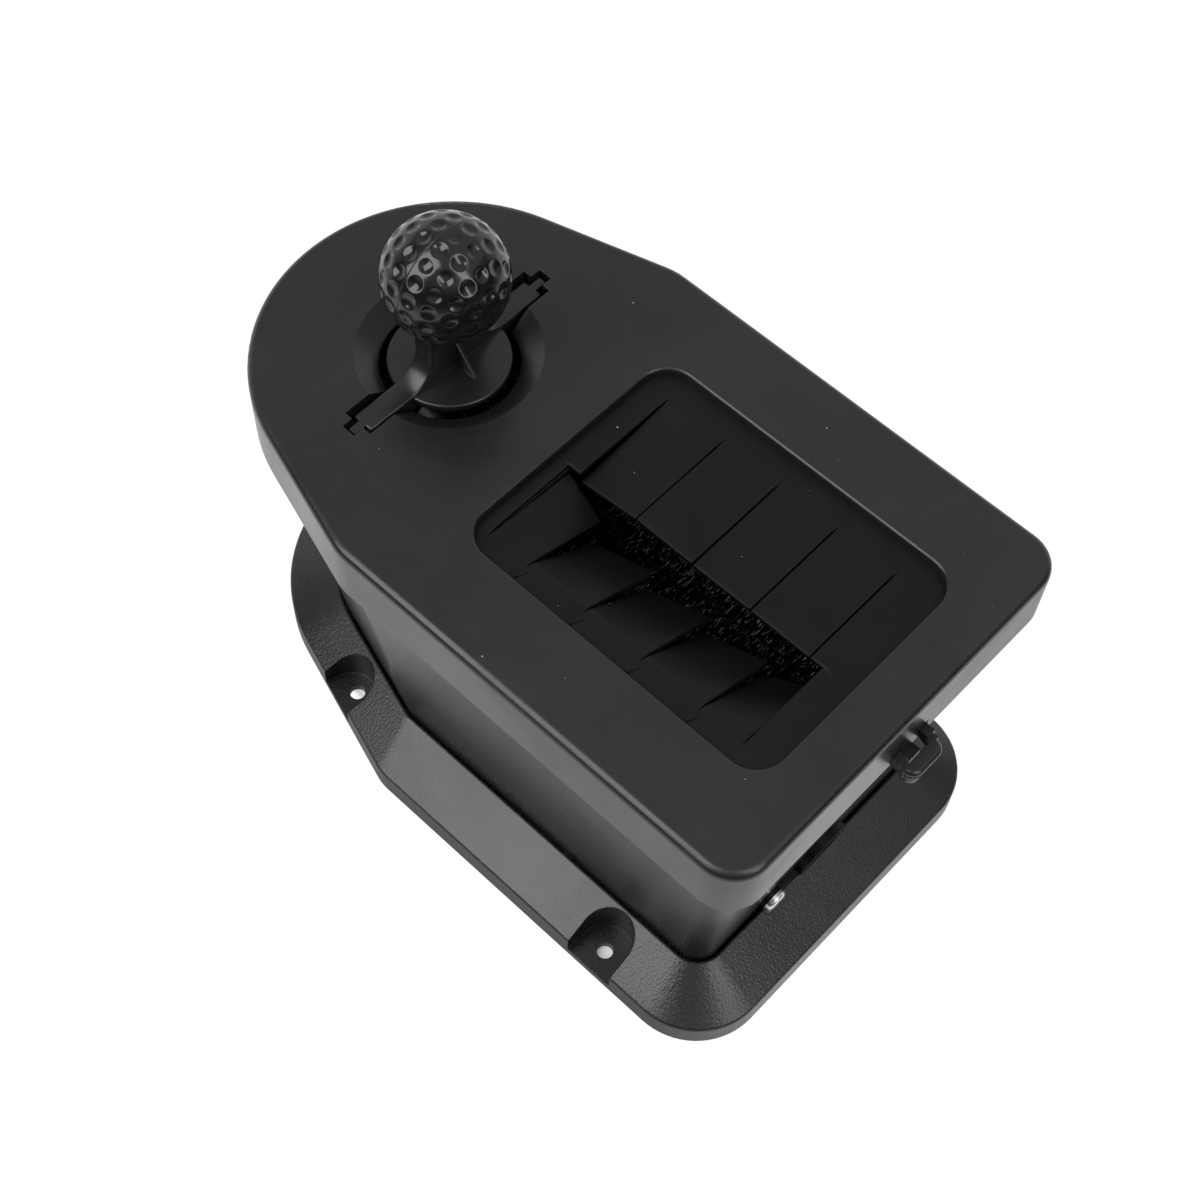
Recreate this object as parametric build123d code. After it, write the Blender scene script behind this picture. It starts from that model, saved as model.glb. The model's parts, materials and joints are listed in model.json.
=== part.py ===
from build123d import *
import math
import os

# Golf-cart club and ball washer: a tapered water tub in a flared mounting base, a hinged lid with
# rubber flaps over club brushes, and a plunger with a golf-ball knob that drops a ball between brushes.
# Millimetres, +Z up, the front (latch, drain plug) towards -Y, the round end towards +Y.
# Inside this file y is counted from the lid's front face, and every piece is shifted by -ORIGIN_Y when
# it is written, so that the part stands centred on its origin.

# ---- lid outline and heights ----
LID_WIDTH = 160.4
LID_LENGTH = 266.0
LID_CORNER_R = 13.5
LID_BEND_Y = 168.5            # where the straight sides turn into the tapers
LID_BEND_R = 24.0
LID_NOSE_R = 68.3             # round end
LID_TOP_Z = 156.0
LID_PLATE = 3.5
LID_EDGE_R = 3.0
SKIRT_DEPTH = 24.2
SKIRT_WALL = 2.8
SKIRT_GAP = 1.2               # skirt to tub collar

# ---- tub ----
TUB_WALL = 3.0
TUB_FLOOR = 3.2
TUB_SEAM_INSET = 20.6         # inset from the lid outline where the tub meets the base
TUB_LOW_CORNER_R = 9.0
GASKET_H = 2.2
GASKET_GAP = 0.3
GASKET_EDGE = 0.2

# ---- mounting base ----
BASE_WIDTH = 162.4
BASE_FRONT_Y = -1.0
BASE_CORNER_R = 27.5
BASE_BEND_Y = 160.5
BASE_BEND_R = 21.0
BASE_NOSE_Y = 203.0           # centre of the round end
BASE_NOSE_R = 64.7
BASE_RIM_H = 10.5
BASE_EDGE_R = 1.2
BASE_SEAM_Z = 20.6
BASE_WALL = 3.0
BASE_FLOOR = 4.0
BASE_COLLAR = 2.6             # wall around the tub's foot
BASE_LIP = 0.8                # level edge that the flare ends in
SEAM_GAP = 1.2
MOUNT_HOLE_R = 3.0
FRONT_HOLE_IN = 9.0           # from the base's side
FRONT_HOLE_Y = 53.2
REAR_HOLE_IN = 19.6           # further in, where the base tapers
REAR_HOLE_Y = 194.2
POCKET_R = 10.2
REAR_POCKET_OUT = 2.8         # rear pockets' round ends outside their holes
POCKET_FLOOR_Z = 3.0
POCKET_WALL = 1.5
RIB_T = 1.8
RIB_ROWS = (25.0, 80.0, 108.0, 136.0, 163.0, 222.0)
RIB_COLUMNS = (-54.0, -27.0, 0.0, 27.0, 54.0)
BASE_SCREW_IN = 16.0          # from the tub's inner wall
BASE_SCREW_TAPER = 6.0        # rear pair further in
BASE_SCREW_FRONT_Y = 45.0
BASE_SCREW_REAR_Y = 180.0
BASE_SCREW_LENGTH = 8.0
TUB_BOSS_R = 4.6
TUB_BOSS_H = 7.0
BLIND_END = 1.5               # left above a blind hole

# ---- hinge ----
HINGE_OUT = 4.2               # pin centre behind the lid's round end
HINGE_DROP = 2.3              # pin centre below the skirt
KNUCKLE_R = 4.4
PIN_R = 2.0
RUN_GAP = 0.05                # radial running clearance
HINGE_CENTRE_W = 16.0
HINGE_SIDE_W = 10.0
KNUCKLE_GAP = 0.4
HINGE_SWEEP_GAP = 0.8
GUSSET_DROP = 18.0
GUSSET_UP = 1.2
KNUCKLE_ROOT_H = 13.0

# ---- club window, flaps and club brushes ----
WINDOW_WIDTH = 97.0
WINDOW_FRONT_Y = 19.5
WINDOW_BACK_Y = 145.0
WINDOW_R = 11.0
WINDOW_LIP_R = 1.2
FLAP_T = 2.0
FLAP_BORDER = 9.0             # sheet beyond the window's edge, clamped under the lid
RETAINER_OUT = 4.2            # frame screws outside the window's sides
RETAINER_END = 3.0            # and in from its ends
RETAINER_BOSS_R = 3.2
RETAINER_LENGTH = 6.0
SLIT_X = -3.9                 # line on which the two sheets meet
CUT_W = 0.5
FINGER_PITCH = 24.4
FINGER_MID_Y = 86.0
RIGHT_ROOT_IN = 9.0           # roots of the cuts inside the window's sides
LEFT_ROOT_IN = 7.5
LEFT_END_FINGER = 17.2
LEFT_DROOP = (32.5, 33.5, 34.5, 34.0, 20.0)      # degrees, from the front finger to the back one
FINGER_BEND_R = 14.0
FRAME_T = 3.0
FRAME_LEDGE = 0.6             # frame beyond the inner faces of its side walls
FRAME_OPEN_R = 1.0
CLUB_FRONT_Y = 29.0           # outer faces of the brush frame's corner posts
CLUB_BACK_Y = 143.0
CLUB_WALL_T = 3.0
CLUB_WALL_IN = 2.9            # side walls inside the window's sides, clear of the screws
CLUB_DEPTH = 92.0             # frame below the flaps
FRAME_CORNER_R = 6.0
CLUB_SLOTS = 4                # upright drain slots in each side wall
CLUB_SLOT_W = 9.0
CLUB_SLOT_H = 44.0
CLUB_SLOT_UP = 30.0
FOOT_BAR_H = 10.0
BLOCK_T = 5.0
BLOCK_GAP = 0.3
CLUB_TIP_X = 3.2              # bristle tips from the middle plane
CLUB_ROWS = 5
CLUB_COLUMNS = 9
TUFT = 3.6
TUFT_STRIP = 1.0              # strip that the tufts are set in
TUFT_END = 6.0                # outermost tufts from the block's edges
RIGHT_TOP_DROP = 11.5         # tops of the bristles below the flaps
LEFT_TOP_DROP = 26.5

# ---- ball washer ----
BALL_R = 21.35                # golf ball
BALL_Y = 199.0
DISH_R = 32.0
HOLE_R = 24.0
DISH_DEPTH = 6.0
PAD_R = 37.0
PAD_DROP = 3.5                # pad below the lid plate
SLOT_W = 12.0
SLOT_HALF = 42.0
SLOT_TIP_W = 5.4
SLOT_TIP_HALF = 46.2
BAR_W = 9.0
BAR_SIDE_GAP = 1.5
TIP_W = 3.0
PADDLE_DROP = 85.0            # paddle's foot below the lid's top
RING_DROP = 51.0
RING_GAP = 0.45               # ball to ring
RING_WALL = 5.5
RAIL_W = 9.0
BAR_H = 7.0
STEM_HALF = 6.0
STEM_FILLET = 15.0
SPOKE_H = 10.0                # cross web beside the ball ring
SPOKE_W = 8.0                 # web above the ball ring
CAP_GAP = 2.8                 # cap disc to hole
CAP_T = 3.0
CAP_DROP = 3.0                # cap top below the lid top
FIN_T = 1.8
FIN_REACH = 11.0
KNOB_CLEAR = 16.3             # knob above the lid
SOCKET_R = 4.5
SOCKET_DEPTH = 12.0
KNOB_FLAT = 3.0               # cut off the ball at the stem
SPIGOT_IN = 6.0               # spigot's root inside the stem
STOP_H = 3.0                  # lugs at the foot of the rails that stop under the lid
STOP_HALF = 47.0
CAGE_WALL = 2.2
CAGE_IN_X = 24.0
CAGE_IN_Y = 27.0
CAGE_GUIDE_GAP = 0.6
CAGE_FLOOR = 3.0
CAGE_FLANGE = 3.0
CAGE_EAR_R = 5.0
CAGE_EAR_OUT = 4.2
CAGE_EAR_Y = 17.0
CAGE_SCREW_LENGTH = 7.0
CAGE_FLOOR_HOLE_R = 12.0
CAGE_WEEP_R = 2.6             # drain holes under the brush blocks
CAGE_WEEP_X = 11.0
CAGE_WEEP_DROP = 7.0
BALL_BLOCK_T = 5.0
BALL_BLOCK_W = 40.0
BALL_BLOCK_UP = 6.0           # above the paddle's foot
BALL_BLOCK_DROP = 12.0        # below the pad
BALL_TIP_GAP = 1.5            # bristle tips to the paddle
BALL_ROWS = 5
BALL_COLUMNS = 5

# ---- latch ----
LATCH_X = 3.4                 # middle of the latch and its catch
LATCH_REACH = 9.8             # in front of the lid
LATCH_W = 17.2
LATCH_ARM_W = 3.6
LATCH_ARM_OUT = 3.5           # raised arms in front of the lid
LATCH_BAR_T = 5.5
LATCH_DEPTH = 9.0
LATCH_LEAN = 13.0             # degrees that the grip's faces lean in
LATCH_CORNER_R = 4.5
LATCH_EDGE_R = 1.6
LATCH_AXIS_Y = 1.6
LATCH_AXIS_UP = 3.6           # above the skirt's lower edge
LATCH_PIN_R = 1.0
CATCH_W = 5.8
CATCH_H = 7.0
CATCH_OUT = 3.2               # catch in front of the lid
CATCH_GAP = 0.8               # catch below the skirt
CATCH_PEG = 2.0               # peg of the catch in the tub's wall
CATCH_PEG_W = 4.0
CATCH_PEG_GAP = 0.05
ARM_EYE_R = 1.7
ARM_GAP = 0.5
ARM_TOP_UP = 1.2              # arms' tops above the pin
ARM_FOOT = 4.0                # arms' depth at the bar
NOTCH_UP = 2.8                # notch above the pin
BAR_TOP_DOWN = 1.4            # bar's top below the pin
LATCH_PIN_OVER = 1.5
GRIP_RIB_H = 0.9
GRIP_RIB_OUT = 0.4
GRIP_FIRST = 2.6              # first ridge below the bar's top
GRIP_PITCH = 2.0
GRIP_RIBS = 3

# ---- drain ----
DRAIN_Z = 33.5
DRAIN_FLANGE_R = 12.2
DRAIN_FLANGE_T = 3.0
DRAIN_BORE_R = 8.0
DRAIN_BOSS_R = 11.0
DRAIN_BOSS_IN = 5.0
DRAIN_RIM = 3.0
DRAIN_WEB = 1.2
DRAIN_GRIP_W = 3.2
PLUG_GAP = 0.1
PLUG_TAPER = 1.2
PLUG_SHORT = 1.0
STRAP_GAP = 0.3               # strap to the plug's flange
TETHER_DROP = 4.0             # screw below the plug
TETHER_X = -25.0
TETHER_W = 8.0
TETHER_T = 1.8
TETHER_EYE_R = 5.2
TETHER_SCREW_R = 4.9
TETHER_HEAD_H = 2.6

# ---- small screws ----
SCREW_R = 1.9
SCREW_FIT = 0.05
SCREW_HEAD_R = 3.8
SCREW_HEAD_H = 2.0
HEAD_GAP = 0.3

OVER = 1.0                    # a cut's overrun past the face that it goes through

# ---- worked out from the values above ----
SKIRT_Z = LID_TOP_Z - SKIRT_DEPTH
PLATE_Z = LID_TOP_Z - LID_PLATE                     # underside of the lid plate
COLLAR_INSET = SKIRT_WALL + SKIRT_GAP
COLLAR_TOP_Z = PLATE_Z - GASKET_GAP - GASKET_H
HINGE_Y = LID_LENGTH + HINGE_OUT
LATCH_FRONT = LATCH_REACH + GRIP_RIB_OUT - GRIP_FIRST * math.tan(math.radians(LATCH_LEAN))
ORIGIN_Y = (HINGE_Y + KNUCKLE_R - LATCH_FRONT) / 2
SHEET_Z = PLATE_Z - FLAP_T
FRAME_Z = SHEET_Z - FRAME_T                          # underside of the clamping frame
PAD_Z = PLATE_Z - PAD_DROP
CAP_TOP_Z = LID_TOP_Z - CAP_DROP
KNOB_Z = LID_TOP_Z + KNOB_CLEAR + BALL_R
PADDLE_BOTTOM_Z = LID_TOP_Z - PADDLE_DROP
RING_Z = LID_TOP_Z - RING_DROP
BALL_BLOCK_LOW_Z = PADDLE_BOTTOM_Z + BALL_BLOCK_UP
BALL_BLOCK_TOP_Z = PAD_Z - BALL_BLOCK_DROP
RIGHT_TOP_Z = SHEET_Z - RIGHT_TOP_DROP
LEFT_TOP_Z = SHEET_Z - LEFT_TOP_DROP
CLUB_WALL_X = WINDOW_WIDTH / 2 - CLUB_WALL_IN       # outer faces of the brush frame's side walls
FRAME_OPEN_X = CLUB_WALL_X - CLUB_WALL_T - FRAME_LEDGE
RIGHT_ROOT_X = WINDOW_WIDTH / 2 - RIGHT_ROOT_IN
LEFT_ROOT_X = LEFT_ROOT_IN - WINDOW_WIDTH / 2
FRONT_HOLE_X = BASE_WIDTH / 2 - FRONT_HOLE_IN
REAR_HOLE_X = BASE_WIDTH / 2 - REAR_HOLE_IN
HINGE_Z = SKIRT_Z - HINGE_DROP
TUB_SLOPE = (TUB_SEAM_INSET - COLLAR_INSET) / (SKIRT_Z - BASE_SEAM_Z)
DRAFT = math.degrees(math.atan(TUB_SLOPE))


class Outline:
    """Plan of the washer: square front with round corners, straight sides, tapers and a round end."""

    def __init__(self, half_width, front, corner_r, bend, bend_r, nose_y, nose_r):
        self.half_width = half_width
        self.front = front
        self.corner_r = corner_r
        self.bend = bend
        self.bend_r = bend_r
        self.nose_y = nose_y
        self.nose_r = nose_r
        across = bend - nose_y
        reach = math.hypot(half_width, across)
        self.turn = math.atan2(across, half_width) + math.acos(nose_r / reach)

    def inset(self, d, corner_r=None):
        """The same plan moved inwards by d all round."""
        radius = corner_r if corner_r is not None else max(self.corner_r - d, 2.0)
        bend = self.bend - d * math.tan(self.turn / 2)
        return Outline(self.half_width - d, self.front + d, radius, bend, max(self.bend_r - d, 2.0),
                       self.nose_y, self.nose_r - d)

    def face(self, z):
        w, r = self.half_width, self.corner_r
        low = self.front + r
        along, up = math.cos(self.turn), math.sin(self.turn)
        start = math.degrees(self.turn)
        middle = (w - self.bend_r, self.bend - self.bend_r * math.tan(self.turn / 2))
        bx, by = middle[0] + self.bend_r * along, middle[1] + self.bend_r * up
        tx, ty = self.nose_r * along, self.nose_y + self.nose_r * up
        edge = Line((r - w, self.front), (w - r, self.front))
        edge += CenterArc((w - r, low), r, -90, 90)
        edge += Line((w, low), (w, middle[1]))
        edge += CenterArc(middle, self.bend_r, 0, start)
        edge += Line((bx, by), (tx, ty))
        edge += CenterArc((0, self.nose_y), self.nose_r, start, 180 - 2 * start)
        edge += Line((-tx, ty), (-bx, by))
        edge += CenterArc((-middle[0], middle[1]), self.bend_r, 180 - start, start)
        edge += Line((-w, middle[1]), (-w, low))
        edge += CenterArc((r - w, low), r, 180, 90)
        return Pos(0, 0, z) * make_face(edge)

    def prism(self, z0, z1):
        return extrude(self.face(z0), z1 - z0, dir=(0, 0, 1))


LID_PLAN = Outline(LID_WIDTH / 2, 0, LID_CORNER_R, LID_BEND_Y, LID_BEND_R, LID_LENGTH - LID_NOSE_R,
                   LID_NOSE_R)
BASE_PLAN = Outline(BASE_WIDTH / 2, BASE_FRONT_Y, BASE_CORNER_R, BASE_BEND_Y, BASE_BEND_R, BASE_NOSE_Y,
                    BASE_NOSE_R)


def tub_inset(z):
    """Inset of the tub's outer wall from the lid outline at height z."""
    return COLLAR_INSET + max(SKIRT_Z - z, 0) * TUB_SLOPE


def tub_plan(z, wall=0.0):
    """Plan of the tub's wall at height z; the corner radius narrows towards the floor."""
    share = (SKIRT_Z - z) / (SKIRT_Z - BASE_SEAM_Z)
    top_r = LID_CORNER_R - COLLAR_INSET
    radius = top_r + (TUB_LOW_CORNER_R - top_r) * max(share, 0)
    return LID_PLAN.inset(tub_inset(z) + wall, max(radius - wall, 2.0))


def box(x0, x1, y0, y1, z0, z1):
    """Axis-aligned block between two corners."""
    return Pos((x0 + x1) / 2, (y0 + y1) / 2, (z0 + z1) / 2) * Box(x1 - x0, y1 - y0, z1 - z0)


def spread(first, last, count):
    """Evenly spaced places from first to last."""
    return [first + (last - first) * i / (count - 1) for i in range(count)]


def span(side, near, far):
    """The stretch from near to far on one side of the middle, in rising order."""
    return sorted((side * near, side * far))


def rod(x, y, z0, z1, r):
    """Upright cylinder."""
    return Pos(x, y, (z0 + z1) / 2) * Cylinder(r, z1 - z0)


def cross_rod(x0, x1, y, z, r):
    """Cylinder along X."""
    return Pos((x0 + x1) / 2, y, z) * Rot(0, 90, 0) * Cylinder(r, x1 - x0)


def side_profile(points, x0, x1):
    """Polygon in the YZ plane, run from x0 to x1."""
    sheet = make_face(Polyline(*points, close=True))
    placed = Plane(origin=(x0, 0, 0), x_dir=(0, 1, 0), z_dir=(1, 0, 0)) * sheet
    return extrude(placed, x1 - x0, dir=(1, 0, 0))


def front_profile(shape, y0, y1):
    """Sketch in the XZ plane, run from y0 to y1."""
    placed = Plane(origin=(0, y0, 0), x_dir=(1, 0, 0), z_dir=(0, -1, 0)) * shape
    return extrude(placed, y1 - y0, dir=(0, 1, 0))


def rounded_block(x0, x1, y0, y1, z0, z1, r):
    """Block with its four upright edges rounded."""
    sketch = Pos((x0 + x1) / 2, (y0 + y1) / 2, z0) * RectangleRounded(x1 - x0, y1 - y0, r)
    return extrude(sketch, z1 - z0, dir=(0, 0, 1))


def on_front_wall(x, z):
    """Frame on the tub's sloping front wall: local +Z points out of the wall."""
    lean = math.radians(DRAFT)
    outward = (0, -math.cos(lean), -math.sin(lean))
    return Location(Plane(origin=(x, tub_inset(z), z), x_dir=(1, 0, 0), z_dir=outward))


# ---- mounting base ----
def mount_places():
    """Hole centres, the direction in which their pocket runs out of the base, and its own shift that way."""
    lean = math.degrees(BASE_PLAN.turn)
    places = []
    for side in (1, -1):
        places.append((side * FRONT_HOLE_X, FRONT_HOLE_Y, 0 if side > 0 else 180, 0.0))
        places.append((side * REAR_HOLE_X, REAR_HOLE_Y, lean if side > 0 else 180 - lean, REAR_POCKET_OUT))
    return places


def base_screw_places():
    front = tub_plan(BASE_SEAM_Z, TUB_WALL).half_width - BASE_SCREW_IN
    rear = front - BASE_SCREW_TAPER
    return [(-front, BASE_SCREW_FRONT_Y), (front, BASE_SCREW_FRONT_Y), (-rear, BASE_SCREW_REAR_Y),
            (rear, BASE_SCREW_REAR_Y)]


def mounting_base():
    opening = tub_plan(BASE_SEAM_Z).inset(-SEAM_GAP)
    crown = opening.inset(-BASE_COLLAR)
    outer = BASE_PLAN.prism(0, BASE_RIM_H)
    outer += loft([BASE_PLAN.face(BASE_RIM_H), opening.inset(-BASE_LIP).face(BASE_SEAM_Z)], ruled=True)
    rim = outer.edges().filter_by_position(Axis.Z, BASE_RIM_H - 0.01, BASE_RIM_H + 0.01)
    outer = fillet(rim, BASE_EDGE_R)
    under_z = BASE_RIM_H - BASE_WALL
    inner = BASE_PLAN.inset(BASE_WALL)
    hollow = inner.prism(-OVER, under_z)
    hollow += loft([inner.face(under_z), crown.face(BASE_SEAM_Z - BASE_WALL)], ruled=True)
    walls = [at * pocket(POCKET_WALL) for at in pocket_frames(0)]
    inside = outer & (Part() + radial_ribs() + walls + [crown.prism(0, BASE_SEAM_Z)])
    shell = outer - hollow + inside
    shell -= opening.prism(BASE_FLOOR, BASE_SEAM_Z + OVER)
    for at in pocket_frames(POCKET_FLOOR_Z):
        shell -= at * pocket(0)
    for x, y, _, _ in mount_places():
        shell -= rod(x, y, -OVER, POCKET_FLOOR_Z + OVER, MOUNT_HOLE_R)
    for x, y in base_screw_places():
        shell -= rod(x, y, -OVER, BASE_FLOOR + OVER, SCREW_R + SCREW_FIT)
        shell -= rod(x, y, -OVER, SCREW_HEAD_H + HEAD_GAP, SCREW_HEAD_R + HEAD_GAP)
    return shell


def radial_ribs():
    """Stiffening ribs under the flared flange."""
    ribs = []
    half = BASE_WIDTH / 2
    back = BASE_NOSE_Y + BASE_NOSE_R
    for y in RIB_ROWS:
        ribs.append(box(-half, half, y - RIB_T / 2, y + RIB_T / 2, 0, BASE_SEAM_Z))
    for x in RIB_COLUMNS:
        ribs.append(box(x - RIB_T / 2, x + RIB_T / 2, BASE_FRONT_Y, back, 0, BASE_SEAM_Z))
    return ribs


def pocket_frames(z):
    """Frames of the four screwdriver pockets, local +X pointing out of the base."""
    return [Pos(x, y, z) * Rot(0, 0, angle) * Pos(out, 0, 0) for x, y, angle, out in mount_places()]


def pocket(grow):
    """U-shaped well, open towards local +X."""
    radius = POCKET_R + grow
    reach = 3 * radius
    shape = Circle(radius) + Pos(reach / 2, 0) * Rectangle(reach, 2 * radius)
    return extrude(shape, BASE_SEAM_Z, dir=(0, 0, 1))


# ---- tub ----
def tub():
    floor_top = BASE_FLOOR + TUB_FLOOR
    body = loft([tub_plan(BASE_FLOOR).face(BASE_FLOOR), tub_plan(SKIRT_Z).face(SKIRT_Z)], ruled=True)
    body += tub_plan(SKIRT_Z).prism(SKIRT_Z, COLLAR_TOP_Z)
    inner_low = tub_plan(floor_top, TUB_WALL)
    inner_top = tub_plan(SKIRT_Z, TUB_WALL)
    room = loft([inner_low.face(floor_top), inner_top.face(SKIRT_Z)], ruled=True)
    room += inner_top.prism(SKIRT_Z, COLLAR_TOP_Z + 1)
    outer = body
    body = body - room
    wall = on_front_wall(0, DRAIN_Z)
    boss_depth = TUB_WALL + DRAIN_BOSS_IN
    body += outer & (wall * Pos(0, 0, -boss_depth / 2) * Cylinder(DRAIN_BOSS_R, boss_depth))
    body -= wall * Cylinder(DRAIN_BORE_R, 4 * boss_depth)
    for x, y in base_screw_places():
        body += rod(x, y, BASE_FLOOR, floor_top + TUB_BOSS_H, TUB_BOSS_R)
        body -= rod(x, y, BASE_FLOOR - OVER, floor_top + TUB_BOSS_H - BLIND_END, SCREW_R + SCREW_FIT)
    body -= tether_frame() * Cylinder(SCREW_R + SCREW_FIT, 2 * TUB_WALL - OVER)
    body += tub_knuckle()
    body -= cross_rod(-HINGE_CENTRE_W, HINGE_CENTRE_W, HINGE_Y, HINGE_Z, PIN_R + RUN_GAP)
    return body - catch_peg(CATCH_PEG_GAP)


def tub_knuckle():
    """Middle knuckle on a gusset that grows out of the round end."""
    half = HINGE_CENTRE_W / 2
    low = HINGE_Z - GUSSET_DROP
    top = HINGE_Z + GUSSET_UP
    root = LID_LENGTH - tub_inset(HINGE_Z) - OVER
    foot = LID_LENGTH - tub_inset(low) - OVER
    lean = math.radians(60)
    chin = (HINGE_Y + KNUCKLE_R * math.cos(lean), HINGE_Z - KNUCKLE_R * math.sin(lean))
    web = side_profile([(foot - OVER, low), (foot, low), chin, (HINGE_Y, top), (root, top)], -half, half)
    return web + cross_rod(-half, half, HINGE_Y, HINGE_Z, KNUCKLE_R)


def catch_peg(gap):
    """Square peg of the catch, or with a gap the pocket in the tub's wall that takes it."""
    half = CATCH_PEG_W / 2 + gap
    middle = SKIRT_Z - CATCH_GAP - CATCH_H / 2
    face = tub_inset(middle)
    x = (LATCH_X - half, LATCH_X + half)
    return box(*x, face - OVER, face + CATCH_PEG + gap, middle - half / 2, middle + half / 2)


def latch_catch():
    """Nose set in the tub's front wall, inside the latch's window."""
    top = SKIRT_Z - CATCH_GAP
    low = top - CATCH_H
    chin = (-CATCH_OUT, top - CATCH_H * 0.45)
    points = [(tub_inset(top), top), (-CATCH_OUT, top), chin, (tub_inset(low), low)]
    return side_profile(points, LATCH_X - CATCH_W / 2, LATCH_X + CATCH_W / 2) + catch_peg(0)


def rim_gasket():
    rim = tub_plan(SKIRT_Z)
    top = COLLAR_TOP_Z + GASKET_H
    ring = rim.inset(GASKET_EDGE).prism(COLLAR_TOP_Z, top)
    return ring - rim.inset(TUB_WALL - GASKET_EDGE).prism(COLLAR_TOP_Z - OVER, top + OVER)


# ---- lid ----
def lid():
    body = LID_PLAN.prism(SKIRT_Z, LID_TOP_Z)
    body = fillet(body.faces().sort_by(Axis.Z)[-1].edges(), LID_EDGE_R)
    body -= LID_PLAN.inset(SKIRT_WALL).prism(SKIRT_Z - 1, PLATE_Z)
    body += rod(0, BALL_Y, PAD_Z, PLATE_Z + 1, PAD_R)
    body += slot_pad()
    middle = (WINDOW_FRONT_Y + WINDOW_BACK_Y) / 2
    window = Pos(0, middle) * RectangleRounded(WINDOW_WIDTH, WINDOW_BACK_Y - WINDOW_FRONT_Y, WINDOW_R)
    body -= extrude(Pos(0, 0, PLATE_Z - 1) * window, LID_PLATE + 2, dir=(0, 0, 1))
    body = round_window_lip(body)
    body -= Pos(0, BALL_Y, LID_TOP_Z - DISH_DEPTH / 2) * Cone(HOLE_R, DISH_R, DISH_DEPTH)
    body -= rod(0, BALL_Y, PAD_Z - 1, LID_TOP_Z - DISH_DEPTH + 0.5, HOLE_R)
    body -= extrude(Pos(0, BALL_Y, PAD_Z - 1) * slot_shape(), LID_TOP_Z - PAD_Z + 2, dir=(0, 0, 1))
    for x, y in retainer_screw_places():
        body += rod(x, y, SHEET_Z, PLATE_Z + OVER, RETAINER_BOSS_R)
        body -= rod(x, y, SHEET_Z - OVER, LID_TOP_Z - BLIND_END, SCREW_R + SCREW_FIT)
    for x, y in cage_screw_places():
        body -= rod(x, y, PAD_Z - OVER, LID_TOP_Z - BLIND_END, SCREW_R + SCREW_FIT)
    body += lid_knuckles()
    half = HINGE_CENTRE_W / 2 + KNUCKLE_GAP
    reach = half + HINGE_SIDE_W + OVER
    body -= cross_rod(-reach, reach, HINGE_Y, HINGE_Z, PIN_R + RUN_GAP)
    body -= cross_rod(-half, half, HINGE_Y, HINGE_Z, KNUCKLE_R + HINGE_SWEEP_GAP)
    return cut_latch_seat(body)


def round_window_lip(body):
    """Rounds the window's upper edge."""
    inside = []
    for edge in body.edges().filter_by_position(Axis.Z, LID_TOP_Z - 0.01, LID_TOP_Z + 0.01):
        spot = edge.center()
        if abs(spot.X) < WINDOW_WIDTH / 2 + 1 and WINDOW_FRONT_Y - 1 < spot.Y < WINDOW_BACK_Y + 1:
            inside.append(edge)
    return fillet(inside, WINDOW_LIP_R)


def slot_shape(grow=0.0):
    wide = Rectangle(2 * (SLOT_HALF + grow), SLOT_W + 2 * grow)
    return wide + Rectangle(2 * (SLOT_TIP_HALF + grow), SLOT_TIP_W + 2 * grow)


def slot_pad():
    """Thickened strip under the plate along the slot."""
    half = SLOT_TIP_HALF + 4
    return box(-half, half, BALL_Y - SLOT_W, BALL_Y + SLOT_W, PAD_Z, PLATE_Z + 1)


def lid_knuckles():
    inner = HINGE_CENTRE_W / 2 + KNUCKLE_GAP
    outer = inner + HINGE_SIDE_W
    drop = LID_NOSE_R - math.sqrt(LID_NOSE_R ** 2 - outer ** 2)
    root = LID_LENGTH - drop - SKIRT_WALL / 2
    top = SKIRT_Z + KNUCKLE_ROOT_H
    points = [(root, SKIRT_Z), (root, top), (root + SKIRT_WALL / 2, top), (HINGE_Y + KNUCKLE_R, HINGE_Z),
              (HINGE_Y, HINGE_Z)]
    parts = []
    for x0, x1 in ((inner, outer), (-outer, -inner)):
        web = side_profile(points, x0, x1)
        parts.append(web + cross_rod(x0, x1, HINGE_Y, HINGE_Z, KNUCKLE_R))
    return parts


def latch_axis():
    return LATCH_AXIS_Y, SKIRT_Z + LATCH_AXIS_UP


def arm_spans(gap=0.0):
    """Stretches of X that the two arms take up."""
    out = LATCH_W / 2 + gap
    near = LATCH_W / 2 - LATCH_ARM_W - gap
    return [(LATCH_X - out, LATCH_X - near), (LATCH_X + near, LATCH_X + out)]


def cut_latch_seat(body):
    """Two notches in the skirt's lower edge for the latch arms, with the cross holes for its pin."""
    y, z = latch_axis()
    for x0, x1 in arm_spans(ARM_GAP):
        body -= box(x0, x1, -OVER, SKIRT_WALL + OVER, SKIRT_Z - OVER, z + NOTCH_UP)
    reach = LATCH_W / 2 + LATCH_PIN_OVER + ARM_GAP
    body -= cross_rod(LATCH_X - reach, LATCH_X + reach, y, z, LATCH_PIN_R + RUN_GAP)
    return body


def grip(grow):
    """The latch's grip bar: round corners, faces that lean in towards its foot."""
    deep = 2 * LATCH_BAR_T
    plan = RectangleRounded(LATCH_W + 2 * grow, deep + 2 * grow, LATCH_CORNER_R + grow)
    return extrude(plan, LATCH_DEPTH, dir=(0, 0, -1), taper=LATCH_LEAN)


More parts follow.
